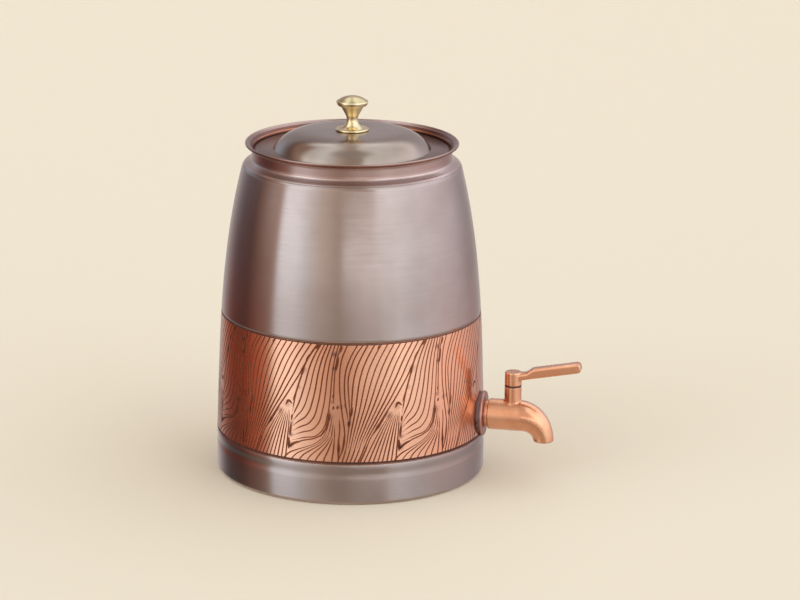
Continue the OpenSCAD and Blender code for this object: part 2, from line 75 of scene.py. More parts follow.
MM = 0.001
TINY = 1e-6
# Clearance on a shank, and how far a cut runs past the face that it opens, in millimetres.
CLEAR = 0.05
PAST = 5.0
EDGE = "edge"
CREVICE = "crevice"


class Body(Enum):
    """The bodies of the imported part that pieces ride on."""

    POT = "pot"
    LID = "lid"
    LEVER = "lever"


class Slot(Enum):
    """The record's material slots."""

    ANTIQUE = "antique_copper"
    ETCHED = "etched_copper"
    TAP = "tap_copper"
    PLATE = "plate_copper"
    BRASS = "knob_brass"
    STEEL = "plain_steel"
    RUBBER = "black_rubber"


class Axis(Enum):
    """The axis that a turned or drilled shape runs along."""

    X = 0
    Y = 1
    Z = 2


class Grain(Enum):
    """How a metal surface was worked."""

    RINGS = "rings"
    CAST = "cast"


def srgb(red: int, green: int, blue: int) -> Colour:
    """Turns a display colour into the linear colour that shaders take.

    Args:
        red: Red from 0 to 255.
        green: Green from 0 to 255.
        blue: Blue from 0 to 255.

    Returns:
        The linear colour with full alpha.
    """
    shares = (red / 255, green / 255, blue / 255)
    linear = [s / 12.92 if s <= 0.04045 else ((s + 0.055) / 1.055) ** 2.4 for s in shares]
    return (linear[0], linear[1], linear[2], 1.0)


def box_mm(node: str) -> tuple[Vector, Vector]:
    """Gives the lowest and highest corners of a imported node's box in millimetres."""
    low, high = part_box(node)
    return low / MM, high / MM


def middle_mm(node: str) -> Vector:
    """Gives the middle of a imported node's box in millimetres."""
    return sum(box_mm(node), Vector()) / 2


def lever_axis_x() -> float:
    """Gives how far out the lever's axis stands, in millimetres."""
    return next(joint["pos_m"][0] for joint in frame["joints"] if joint["name"] == "lever_turn") / MM


def polar(radius: float, degrees: float) -> Point:
    """Gives the flat place at a radius and an angle."""
    angle = math.radians(degrees)
    return radius * math.cos(angle), radius * math.sin(angle)


def steady_noise(index: int) -> float:
    """Gives a fixed value from 0 to 1 for an index, which looks random."""
    return math.modf(abs(math.sin(index * 12.9898 + 4.1) * 43758.5453))[0]


def smooth_union(a: Array, b: Array, fillet: float) -> Array:
    """Joins two shapes, given as distances to them, with a fillet."""
    share = np.clip(0.5 + 0.5 * (b - a) / fillet, 0.0, 1.0)
    return b + (a - b) * share - fillet * share * (1.0 - share)


def smooth_cut(a: Array, b: Array, fillet: float) -> Array:
    """Cuts the first shape with the second, both given as distances, and rounds the edge."""
    return -smooth_union(-a, b, fillet)


def rounded_corner(a: Array, b: Array, radius: float) -> Array:
    """Gives distances to what lies inside two faces, with a rounded corner between them."""
    outside = np.hypot(np.maximum(a + radius, 0.0), np.maximum(b + radius, 0.0))
    return outside + np.minimum(np.maximum(a, b) + radius, 0.0) - radius


def hexagon(a: Array, b: Array, flats: float) -> Array:
    """Gives distances to a hexagon of a width across its flats, from two places across it."""
    sides = [polar(1, angle) for angle in (0, 60, 120)]
    return np.maximum.reduce([np.abs(a * across + b * up) for across, up in sides]) - flats / 2


def eased(share: Array) -> Array:
    """Eases a share from 0 to 1 at both ends."""
    t = np.clip(share, 0.0, 1.0)
    return t * t * (3 - 2 * t)


def new_mesh(name: str, points: Array, faces: Iterable[Sequence[int]]) -> Mesh:
    """Makes a mesh in metres from points in millimetres.

    Args:
        name: Name of the mesh.
        points: Rows of x, y and z.
        faces: The corner indices of each face.

    Returns:
        The smooth-shaded mesh.
    """
    mesh = bpy.data.meshes.new(name)
    mesh.from_pydata((np.asarray(points) * MM).tolist(), [], list(faces))
    mesh.validate()
    mesh.shade_smooth()
    return mesh


def set_values(mesh: Mesh, name: str, values: Array) -> None:
    """Stores one number per vertex, which materials read by name."""
    layer = mesh.attributes.new(name, "FLOAT", "POINT")
    layer.data.foreach_set("value", np.asarray(values, np.float32))


def store_wear(mesh: Mesh, bends: Array, rubs: Point, dulls: Point) -> None:
    """Stores wear from each vertex's bend, with a gain and a threshold for edges and for creases."""
    set_values(mesh, EDGE, np.clip(bends * rubs[0] - rubs[1], 0.0, 1.0))
    set_values(mesh, CREVICE, np.clip(-bends * dulls[0] - dulls[1], 0.0, 1.0))


def ring_quads(rows: int, count: int) -> Array:
    """Gives the faces between rows of points that go round an axis.

    Args:
        rows: Number of rows.
        count: Points in each row.

    Returns:
        The four point numbers of each face.
    """
    this = np.arange((rows - 1) * count)
    following = this - this % count + (this + 1) % count
    return np.stack([this, following, following + count, this + count], 1)


def face_outwards(mesh: Mesh) -> None:
    """Turns the faces of a closed mesh outwards."""
    work = bmesh.new()
    work.from_mesh(mesh)
    bmesh.ops.recalc_face_normals(work, faces=work.faces)
    work.to_mesh(mesh)
    work.free()


def add_piece(mesh: Mesh, body: Body, finishes: Sequence["Finish"], node: str) -> None:
    """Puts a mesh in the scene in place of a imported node.

    Args:
        mesh: The finished mesh, whose name the piece takes.
        body: The body that the piece rides on.
        finishes: One finish per material index of the mesh.
        node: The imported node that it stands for.
    """
    piece = bpy.data.objects.new(mesh.name, mesh)
    bpy.context.scene.collection.objects.link(piece)
    for finish in finishes:
        mesh.materials.append(finish.material())
    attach(piece, body.value)
    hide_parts(node)
    log.info("%s: %d faces in place of %s", piece.name, len(mesh.polygons), node)


def dress_node(node: str, finish: "Finish") -> None:
    """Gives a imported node, whose shape stays, a better material.

    Args:
        node: The node's name.
        finish: The finish that it gets.
    """
    piece = frame["nodes"][node]
    piece.data.materials.clear()
    piece.data.materials.append(finish.material())
    piece.data.set_sharp_from_angle(angle=math.radians(30))
    log.info("%s: packed node in %s", node, finish.name)


class Wires:
    """Places nodes in a shader tree and joins them."""

    def __init__(self, tree: bpy.types.NodeTree) -> None:
        """Keeps the tree to work in."""
        self.tree = tree

    def add(self, kind: str, **settings: object) -> bpy.types.Node:
        """Adds a node.

        Args:
            kind: The node's type without the ShaderNode prefix.
            **settings: Properties of the node.

        Returns:
            The new node.
        """
        node = self.tree.nodes.new("ShaderNode" + kind)
        for name, value in settings.items():
            setattr(node, name, value)
        return node

    def feed(self, socket: Socket, value: Value) -> None:
        """Links a socket into an input, or sets the input to a constant."""
        if isinstance(value, Socket):
            self.tree.links.new(value, socket)
        else:
            socket.default_value = value

    def math(self, operation: str, a: Value, b: Value = 0.0, clamp: bool = False) -> Socket:
        """Adds a Math node.

        Args:
            operation: The node's operation.
            a: First value or socket.
            b: Second value or socket.
            clamp: Whether the result stays between 0 and 1.

        Returns:
            The result's socket.
        """
        node = self.add("Math", operation=operation, use_clamp=clamp)
        self.feed(node.inputs[0], a)
        self.feed(node.inputs[1], b)
        return node.outputs[0]

    def plus(self, a: Value, b: Value) -> Socket:
        """Adds two values."""
        return self.math("ADD", a, b)

    def times(self, a: Value, b: Value) -> Socket:
        """Multiplies two values."""
        return self.math("MULTIPLY", a, b)

    def span(self, value: Value, low: Value, high: Value, start: Value = 0.0, end: Value = 1.0) -> Socket:
        """Maps a value from one range to another.

        Args:
            value: The value or socket.
            low: Value that maps to start.
            high: Value that maps to end.
            start: Result at low and below.
            end: Result at high and above.

        Returns:
            The result's socket.
        """
        node = self.add("MapRange", interpolation_type="SMOOTHSTEP")
        for index, part in enumerate((value, low, high, start, end)):
            self.feed(node.inputs[index], part)
        return node.outputs[0]

    def window(self, value: Value, bounds: Window) -> Socket:
        """Gives 1 between the inner two bounds, which fades to 0 at the outer two."""
        return self.times(self.span(value, *bounds[:2]), self.span(value, *bounds[2:], 1.0, 0.0))

    def mix(self, share: Value, a: Value, b: Value, blend: str = "MIX") -> Socket:
        """Mixes two colours.

        Args:
            share: How much of the second colour shows.
            a: First colour or socket.
            b: Second colour or socket.
            blend: The blend type.

        Returns:
            The mixed colour's socket.
        """
        node = self.add("Mix", data_type="RGBA", blend_type=blend)
        self.feed(node.inputs[0], share)
        self.feed(node.inputs[6], a)
        self.feed(node.inputs[7], b)
        return node.outputs[2]

    def noise(self, vector: Socket, scale: Value, detail: float, roughness: float = 0.5) -> Socket:
        """Adds a noise texture.

        Args:
            vector: Where it is read.
            scale: Its scale.
            detail: Its octaves.
            roughness: How strong the finer octaves are.

        Returns:
            The noise's value socket.
        """
        node = self.add("TexNoise")
        self.feed(node.inputs["Vector"], vector)
        self.feed(node.inputs["Scale"], scale)
        node.inputs["Detail"].default_value = detail
        node.inputs["Roughness"].default_value = roughness
        return node.outputs[0]

    def place(self) -> Socket:
        """Gives the surface's place in the pot's own frame, in metres."""
        return self.add("TexCoord").outputs["Object"]

    def stored(self, name: str) -> Socket:
        """Gives the number that the mesh stores under a name."""
        return self.add("Attribute", attribute_name=name).outputs["Fac"]


class Effect:
    """A surface effect that several materials share, as one node group."""

    name = "effect"
    inputs: dict[str, float] = {}
    outputs: tuple[str, ...] = ()

    def tree(self) -> bpy.types.NodeTree:
        """Gives the effect's group, which is built the first time.

        Returns:
            The node group.
        """
        found = bpy.data.node_groups.get(self.name)
        if found:
            return found
        tree = bpy.data.node_groups.new(self.name, "ShaderNodeTree")
        for name, value in self.inputs.items():
            socket = tree.interface.new_socket(name, in_out="INPUT", socket_type="NodeSocketFloat")
            socket.default_value = value
        for name in self.outputs:
            tree.interface.new_socket(name, in_out="OUTPUT", socket_type="NodeSocketFloat")
        wires = Wires(tree)
        given = tree.nodes.new("NodeGroupInput")
        result = tree.nodes.new("NodeGroupOutput")
        for name, value in self.build(wires, given.outputs).items():
            wires.feed(result.inputs[name], value)
        return tree

    def build(self, wires: Wires, given: Sockets) -> dict[str, Socket]:
        """Builds the group's inside and gives a socket for each output name."""
        raise NotImplementedError

    def use(self, wires: Wires, **values: float) -> Sockets:
        """Places the effect in a material.

        Args:
            wires: The material's tree.
            **values: Values for its inputs.

        Returns:
            The placed group's outputs.
        """
        node = wires.add("Group", node_tree=self.tree())
        for name, value in values.items():
            node.inputs[name].default_value = value
        return node.outputs


class RingBrush(Effect):
    """Fine rings that the polishing wheel left round the upright axis."""

    name = "ring_brush"
    inputs = {"Pitch": 1500.0}
    outputs = ("Tone", "Height")

    def build(self, wires: Wires, given: Sockets) -> dict[str, Socket]:
        """Reads noise that is stretched along the rings."""
        split = wires.add("SeparateXYZ")
        wires.feed(split.inputs[0], wires.place())
        x, y, z = split.outputs
        radius = wires.math("SQRT", wires.plus(wires.times(x, x), wires.times(y, y)))
        across = wires.math("SUBTRACT", radius, z)
        safe = wires.math("MAXIMUM", radius, 0.002)

        def rings(stretch: float, pitch: Value) -> Socket:
            """Places ring coordinates: round the axis slowly, across the rings fast."""
            join = wires.add("CombineXYZ")
            for socket, way in zip(join.inputs, (x, y)):
                wires.feed(socket, wires.times(wires.math("DIVIDE", way, safe), stretch))
            wires.feed(join.inputs[2], wires.times(across, pitch))
            return join.outputs[0]

        fine = wires.noise(rings(3.0, given["Pitch"]), 1.0, 4.0, 0.7)
        broad = wires.noise(rings(1.2, wires.times(given["Pitch"], 0.14)), 1.0, 2.0)
        tone = wires.plus(wires.times(fine, 0.75), wires.times(broad, 0.25))
        return {"Tone": wires.span(tone, 0.3, 0.7), "Height": fine}


class CastSkin(Effect):
    """The fine unevenness of a polished casting."""

    name = "cast_skin"
    inputs = {"Pitch": 700.0}
    outputs = ("Tone", "Height")

    def build(self, wires: Wires, given: Sockets) -> dict[str, Socket]:
        """Adds fine and broad noise."""
        fine = wires.noise(wires.place(), given["Pitch"], 3.0, 0.6)
        broad = wires.noise(wires.place(), wires.times(given["Pitch"], 0.16), 2.0)
        tone = wires.plus(wires.times(fine, 0.5), wires.times(broad, 0.5))
        return {"Tone": wires.span(tone, 0.3, 0.7), "Height": tone}


class Clouds(Effect):
    """Soft patches of older and younger patina."""

    name = "patina_clouds"
    inputs = {"Scale": 16.0}
    outputs = ("Mask",)

    def build(self, wires: Wires, given: Sockets) -> dict[str, Socket]:
        """Reads soft noise in the pot's frame."""
        return {"Mask": wires.span(wires.noise(wires.place(), given["Scale"], 3.0, 0.55), 0.38, 0.66)}


class EdgeWear(Effect):
    """Metal rubbed bright along edges, and tarnish left in creases."""

    name = "edge_wear"
    inputs = {"Rub": 1.0, "Tarnish": 1.0}
    outputs = ("Bright", "Dark")

    def build(self, wires: Wires, given: Sockets) -> dict[str, Socket]:
        """Breaks the stored edge and crease numbers up with noise."""
        broken = wires.span(wires.noise(wires.place(), 240.0, 3.0, 0.6), 0.25, 0.6, 0.45, 1.0)
        found = {}
        for output, name, amount in (("Bright", EDGE, "Rub"), ("Dark", CREVICE, "Tarnish")):
            worn = wires.times(wires.stored(name), broken)
            found[output] = wires.math("MULTIPLY", worn, given[amount], True)
        return found


class Specks(Effect):
    """A few small dark spots in the finish."""

    name = "dark_specks"
    inputs = {"Scale": 60.0, "Size": 0.05}
    outputs = ("Mask",)

    def build(self, wires: Wires, given: Sockets) -> dict[str, Socket]:
        """Marks the middles of a few cells."""
        cells = wires.add("TexVoronoi")
        wires.feed(cells.inputs["Vector"], wires.place())
        wires.feed(cells.inputs["Scale"], given["Scale"])
        chosen = wires.add("TexWhiteNoise")
        wires.feed(chosen.inputs["Vector"], cells.outputs["Position"])
        rare = wires.math("GREATER_THAN", chosen.outputs["Value"], 0.93)
        size = wires.times(given["Size"], 0.4)
        spot = wires.span(cells.outputs["Distance"], size, given["Size"], 1.0, 0.0)
        return {"Mask": wires.times(spot, rare)}


class Finish:
    """A surface finish that makes one Blender material."""

    name: str
    bump_depth: ClassVar[float] = 0.0002

    def material(self) -> bpy.types.Material:
        """Gives the finish's material, which is built the first time.

        Returns:
            The material.
        """
        found = bpy.data.materials.get(self.name)
        if found:
            return found
        made = bpy.data.materials.new(self.name)
        made.use_nodes = True
        wires = Wires(made.node_tree)
        self.build(wires, made.node_tree.nodes["Principled BSDF"])
        return made

    def build(self, wires: Wires, shader: bpy.types.Node) -> None:
        """Builds the material's nodes."""
        raise NotImplementedError

    def _bump(self, wires: Wires, shader: bpy.types.Node, height: Socket, strength: float) -> None:
        """Gives the surface a fine relief."""
        bump = wires.add("Bump")
        bump.inputs["Strength"].default_value = strength
        bump.inputs["Distance"].default_value = self.bump_depth
        wires.feed(bump.inputs["Height"], height)
        wires.feed(shader.inputs["Normal"], bump.outputs[0])


@dataclass(frozen=True)
class MetalFinish(Finish):
    """A worked metal with patina clouds, brushing, rubbed edges and tarnished creases."""

    name: str
    body: Shade
    cloud: Shade
    rub: Shade
    tarnish: Shade
    roughness: float
    grain: Grain = Grain.RINGS
    pitch: float = 1500.0
    contrast: float = 0.25
    relief: float = 0.06
    anisotropy: float = 0.0
    cloud_scale: float = 16.0
    rubbing: float = 0.5
    creasing: float = 0.7
    speck: float = 0.0
    metallic: float = 1.0
    coat: float = 0.0
    coat_roughness: float = 0.15
    brushed_sway: float = 0.02
    cloud_dulls: float = 0.04
    tarnish_dulls: float = 0.25
    radial_turn: float = 0.25

    def build(self, wires: Wires, shader: bpy.types.Node) -> None:
        """Lays the effects over the metal's colour, roughness and normal."""
        brush = RingBrush() if self.grain is Grain.RINGS else CastSkin()
        worked = brush.use(wires, Pitch=self.pitch)
        clouds = Clouds().use(wires, Scale=self.cloud_scale)
        wear = EdgeWear().use(wires, Rub=self.rubbing, Tarnish=self.creasing)
        colour = wires.mix(clouds["Mask"], srgb(*self.body), srgb(*self.cloud))
        shade = wires.span(worked["Tone"], 0.0, 1.0, 1.0 - self.contrast, 1.0)
        colour = wires.mix(1.0, colour, shade, "MULTIPLY")
        colour = wires.mix(wear["Bright"], colour, srgb(*self.rub))
        colour = wires.mix(wear["Dark"], colour, srgb(*self.tarnish))
        if self.speck > 0.0:
            spots = Specks().use(wires, Size=self.speck)
            colour = wires.mix(spots["Mask"], colour, srgb(*self.tarnish))
        wires.feed(shader.inputs["Base Color"], colour)
        sway = self.brushed_sway
        rough = wires.span(worked["Tone"], 0.0, 1.0, self.roughness + sway, self.roughness - sway)
        rough = wires.plus(rough, wires.times(clouds["Mask"], self.cloud_dulls))
        rough = wires.math("ADD", rough, wires.times(wear["Dark"], self.tarnish_dulls), True)
        wires.feed(shader.inputs["Roughness"], rough)
        shader.inputs["Metallic"].default_value = self.metallic
        shader.inputs["Coat Weight"].default_value = self.coat
        shader.inputs["Coat Roughness"].default_value = self.coat_roughness
        self._bump(wires, shader, worked["Height"], self.relief)
        if self.anisotropy > 0.0:
            shader.inputs["Anisotropic"].default_value = self.anisotropy
            shader.inputs["Anisotropic Rotation"].default_value = self.radial_turn
            tangent = wires.add("Tangent", direction_type="RADIAL", axis="Z")
            wires.feed(shader.inputs["Tangent"], tangent.outputs[0])


@dataclass(frozen=True)
class RubberFinish(Finish):
    """Dark moulded rubber or fibre with a dusty bloom."""

    name: str
    body: Shade
    bloom: Shade
    roughness: float = 0.6
    roughness_sway: float = 0.08
    skin_pitch: float = 1800.0
    bloom_scale: float = 60.0
    bloom_share: float = 0.6
    relief: float = 0.15

    def build(self, wires: Wires, shader: bpy.types.Node) -> None:
        """Lays a dusty bloom and a fine skin over dark rubber."""
        skin = CastSkin().use(wires, Pitch=self.skin_pitch)
        clouds = Clouds().use(wires, Scale=self.bloom_scale)
        dusty = wires.times(clouds["Mask"], self.bloom_share)
        wires.feed(shader.inputs["Base Color"], wires.mix(dusty, srgb(*self.body), srgb(*self.bloom)))
        sway = self.roughness_sway
        rough = wires.span(skin["Tone"], 0.0, 1.0, self.roughness - sway, self.roughness + sway)
        wires.feed(shader.inputs["Roughness"], rough)
        self._bump(wires, shader, skin["Height"], self.relief)


ANTIQUE = MetalFinish(
    "antique_copper_brushed", body=(176, 158, 152), cloud=(166, 147, 140), rub=(206, 178, 166),
    tarnish=(84, 56, 50), roughness=0.21, pitch=1700.0, contrast=0.04, relief=0.01, anisotropy=0.7,
    speck=0.04,
)
NECK = MetalFinish(
    "antique_copper_neck", body=(182, 152, 144), cloud=(168, 137, 128), rub=(206, 190, 182),
    tarnish=(88, 50, 42), roughness=0.27, pitch=1900.0, contrast=0.06, relief=0.02, anisotropy=0.7,
    rubbing=0.15, creasing=0.12,
)
# A lighter copy of the neck finish: a painted highlight on the braze fillet and on the top of the shoulder
# roll.
HIGHLIGHT_FILLET = replace(NECK, name="brazed_fillet_painted_highlight", body=(211, 189, 182), cloud=(201, 176, 168))
LID = MetalFinish(
    "antique_copper_lid", body=(172, 155, 143), cloud=(160, 142, 130), rub=(212, 152, 116),
    tarnish=(72, 48, 42), roughness=0.18, pitch=2000.0, contrast=0.05, relief=0.02, anisotropy=0.5,
    rubbing=0.8,
)
# A darker copy of the lid finish: painted shade on the flange, which sits down inside the neck.
SHADED_FLANGE = replace(
    LID, name="antique_copper_flange_painted_shade", body=(142, 113, 103), cloud=(124, 96, 86), roughness=0.27,
)
INSIDE = MetalFinish(
    "aged_copper_inside", body=(156, 100, 80), cloud=(126, 78, 62), rub=(206, 146, 116),
    tarnish=(78, 46, 38), roughness=0.42, pitch=1200.0, contrast=0.3, anisotropy=0.6,
)
# Dark red-brown painted shade for the inside of the lip and the underside of the rim bead.
SHADED = MetalFinish(
    "painted_shade_inner_lip", body=(128, 88, 76), cloud=(108, 70, 58), rub=(160, 112, 92),
    tarnish=(64, 38, 32), roughness=0.32, pitch=1600.0, contrast=0.1, anisotropy=0.5,
)
# A thin bright copper line: a painted highlight on the inner side of the lip.
HIGHLIGHT_LINE = MetalFinish(
    "painted_highlight_copper_line", body=(208, 142, 110), cloud=(184, 116, 86), rub=(226, 166, 136),
    tarnish=(108, 62, 46), roughness=0.3, pitch=1600.0, contrast=0.15, cloud_scale=60.0,
)
BRIGHT = MetalFinish(
    "bright_etched_copper", body=(241, 180, 148), cloud=(234, 166, 132), rub=(246, 198, 170),
    tarnish=(106, 64, 60), roughness=0.2, contrast=0.06, anisotropy=0.5, relief=0.02,
    creasing=1.1, coat=0.5,
)
OXIDE = MetalFinish(
    "blackened_etch", body=(150, 86, 58), cloud=(130, 70, 46), rub=(164, 100, 70), tarnish=(44, 24, 20),
    roughness=0.46, grain=Grain.CAST, pitch=1600.0, metallic=0.92,
)
# A darker copy of the blackened etch for the border lines: etched border plus painted shade at the seams
# with the shells.
SEAM_AND_SHADE = replace(
    OXIDE, name="dark_seam_and_painted_shade", body=(110, 68, 56), cloud=(90, 54, 44), rub=(124, 78, 62), roughness=0.5,
    metallic=0.6,
)
SATIN = MetalFinish(
    "satin_copper_casting", body=(237, 174, 136), cloud=(229, 160, 120), rub=(246, 202, 178),
    tarnish=(128, 66, 44), roughness=0.24, grain=Grain.CAST, pitch=900.0, contrast=0.02, relief=0.004,
    cloud_scale=70.0, coat=0.5,
)
PLATE = MetalFinish(
    "mauve_plate", body=(196, 146, 136), cloud=(178, 128, 120), rub=(220, 170, 156),
    tarnish=(82, 54, 56), roughness=0.34, grain=Grain.CAST, pitch=1000.0, contrast=0.12,
    cloud_scale=60.0,
)
BRASS = MetalFinish(
    "polished_brass", body=(240, 220, 178), cloud=(232, 208, 160), rub=(240, 224, 188),
    tarnish=(132, 104, 64), roughness=0.22, contrast=0.05, relief=0.02, cloud_scale=90.0,
    rubbing=0.2,
)
# A darker copy of the brass: painted shade on the knob's crown.
SHADED_CAP = replace(BRASS, name="brass_cap_top_painted_shade", body=(224, 205, 164), cloud=(215, 192, 148))
STEEL = MetalFinish(
    "plain_zinc_steel", body=(176, 176, 180), cloud=(156, 156, 162), rub=(214, 214, 216),
    tarnish=(70, 68, 68), roughness=0.36, grain=Grain.CAST, pitch=1200.0, cloud_scale=160.0,
)
RUBBER = RubberFinish("black_rubber_seal", (34, 31, 31), (62, 57, 56))
SEAL = RubberFinish("mauve_fibre_seal", (120, 98, 104), (136, 112, 118))
RING = RubberFinish("brown_fibre_ring", (92, 58, 44), (112, 74, 58))


@dataclass
class Outline:
    """The section of a turned piece as points of radius and height, going round its edge."""

    points: list[Point] = field(default_factory=list)
    coats: list[int] = field(default_factory=list)
    coat: int = 0
    straight_cosine: ClassVar[float] = -0.85
    sharp_angle: ClassVar[float] = 50.0
    rubs: ClassVar[Point] = (0.9, 0.12)
    dulls: ClassVar[Point] = (0.9, 0.05)

    def to(self, *points: Point) -> "Outline":
        """Adds straight stretches to points.

        Args:
            *points: Points of radius and height.

        Returns:
            This outline.
        """
        for point in points:
            self.points.append((float(point[0]), float(point[1])))
            self.coats.append(self.coat)
        return self

    def arc(
        self, centre: Point, radius: float | Point, start: float, stop: float, steps: int = 12
    ) -> "Outline":
        """Adds an arc.

        Args:
            centre: The arc's centre.
            radius: Its radius, or a pair of radii for a part of an ellipse.
            start: Its first angle in degrees.
            stop: Its last angle in degrees.
            steps: Number of straight steps.

        Returns:
            This outline.
        """
        wide, high = radius if isinstance(radius, tuple) else (radius, radius)
        for step in range(steps + 1):
            across, up = polar(1.0, start + (stop - start) * step / steps)
            self.to((centre[0] + wide * across, centre[1] + high * up))
        return self

    def cubic(self, start: Point, pull: Point, push: Point, stop: Point, steps: int = 40) -> "Outline":
        """Adds a cubic curve.

        Args:
            start: First point.
            pull: Point that the curve leaves towards.
            push: Point that the curve arrives from.
            stop: Last point.
            steps: Number of straight steps.

        Returns:
            This outline.
        """
        corners = np.array([start, pull, push, stop])
        for t in np.linspace(0.0, 1.0, steps + 1):
            weights = np.array([(1 - t) ** 3, 3 * (1 - t) ** 2 * t, 3 * (1 - t) * t * t, t**3])
            self.to(weights @ corners)
        return self

    def along(self, wall: "WallCurve", start: float, stop: float, inset: float, steps: int) -> "Outline":
        """Follows the pot's wall between two heights.

        Args:
            wall: The wall's curve.
            start: First height.
            stop: Last height.
            inset: Distance inwards from the wall's outside.
            steps: Number of straight steps.

        Returns:
            This outline.
        """
        for z in np.linspace(start, stop, steps + 1):
            self.to((wall.radius(z) - inset, z))
        return self

    def painted(self, coat: int) -> "Outline":
        """Gives what follows another material index."""
        self.coat = coat
        return self

    def bends(self) -> Array:
        """Measures how the outline bends at each point.

        Returns:
            The turn per millimetre, above 0 on edges and below 0 in creases.
        """
        here = np.array(self.points)
        before = here - np.roll(here, 1, 0)
        after = np.roll(here, -1, 0) - here
        cross = before[:, 0] * after[:, 1] - before[:, 1] * after[:, 0]
        turn = np.arctan2(cross, (before * after).sum(1))
        length = (np.hypot(*before.T) + np.hypot(*after.T)) / 2
        area = (here[:, 0] * np.roll(here[:, 1], -1) - here[:, 1] * np.roll(here[:, 0], -1)).sum()
        return math.copysign(1.0, area) * turn / np.maximum(length, 0.05)

    def softened(self, setback: float = 0.15) -> "Outline":
        """Rounds every sharp corner a little.

        Args:
            setback: Distance from the corner at which its rounding starts.

        Returns:
            A new outline.
        """
        result = Outline()
        count = len(self.points)
        for index, point in enumerate(self.points):
            here = np.array(point)
            before = np.array(self.points[index - 1]) - here
            after = np.array(self.points[(index + 1) % count]) - here
            legs = np.hypot(*before), np.hypot(*after)
            result.coat = self.coats[index]
            kept = min(legs) < TINY or point[0] < TINY
            if kept or before @ after < self.straight_cosine * legs[0] * legs[1]:
                result.to(point)
                continue
            first = here + before / legs[0] * min(setback, 0.4 * legs[0])
            last = here + after / legs[1] * min(setback, 0.4 * legs[1])
            for share in (0.0, 0.5, 1.0):
                blend = (1 - share) ** 2 * first + 2 * share * (1 - share) * here + share**2 * last
                result.to(blend)
        return result

    def turn(self, name: str, steps: int = 240, axis: Axis = Axis.Z, centre: Place = (0, 0, 0)) -> Mesh:
        """Turns the outline into a closed solid.

        Args:
            name: Name of the mesh.
            steps: Number of sides round the axis.
            axis: The axis that it is turned on, Z or X.
            centre: Where the outline's zero lies.

        Returns:
            The mesh, with its edge and crease numbers stored.
        """
        points, faces, coats, rows, bends = [], [], [], [], []
        for (radius, height), bend in zip(self.points, self.bends()):
            first = len(points)
            sides = 1 if radius < TINY else steps
            for side in range(sides):
                a, b = polar(radius, 360.0 * side / steps)
                points.append((a, b, height) if axis is Axis.Z else (height, a, b))
                bends.append(bend)
            rows.append((first, sides))
        for index, coat in enumerate(self.coats):
            (low, low_sides), (high, high_sides) = rows[index], rows[(index + 1) % len(rows)]
            if low_sides == 1 and high_sides == 1:
                continue
            for side in range(steps):
                following = (side + 1) % steps
                corners = [low + side % low_sides, low + following % low_sides]
                corners += [high + following % high_sides, high + side % high_sides]
                faces.append(list(dict.fromkeys(corners)))
                coats.append(coat)
        mesh = new_mesh(name, np.array(points) + np.array(centre, float), faces)
        mesh.polygons.foreach_set("material_index", coats)
        face_outwards(mesh)
        store_wear(mesh, np.array(bends), self.rubs, self.dulls)
        mesh.set_sharp_from_angle(angle=math.radians(self.sharp_angle))
        return mesh


def flat_ring(node: str, name: str, axis: Axis, bore: float, softness: float) -> Mesh:
    """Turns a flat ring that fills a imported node's box.

    Args:
        node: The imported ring.
        name: Name of the mesh.
        axis: The axis that it lies round.
        bore: Radius of its hole.
        softness: How far its edges are rounded.

    Returns:
        The mesh.
    """
    low, high = box_mm(node)
    outer = (high.y - low.y) / 2
    centre = middle_mm(node)
    centre[axis.value] = low[axis.value]
    thick = high[axis.value] - low[axis.value]
    shape = Outline().to((bore, 0), (outer, 0), (outer, thick), (bore, thick)).softened(softness)
    return shape.turn(name, 96, axis, tuple(centre))


@dataclass(frozen=True)
class RoundBar:
    """A round bar with rounded ends, as a distance field."""

    axis: Axis
    across: Point
    radius: float
    low: float
    high: float
    rounding: float = 0.2

    def __call__(self, places: Array) -> Array:
        """Gives the distance of places to the bar's surface."""
        a, b = (places[..., i] for i in range(3) if i != self.axis.value)
        out = np.hypot(a - self.across[0], b - self.across[1])
        middle = (self.low + self.high) / 2
        along = np.abs(places[..., self.axis.value] - middle) - (self.high - self.low) / 2
        return rounded_corner(out - self.radius, along, self.rounding)


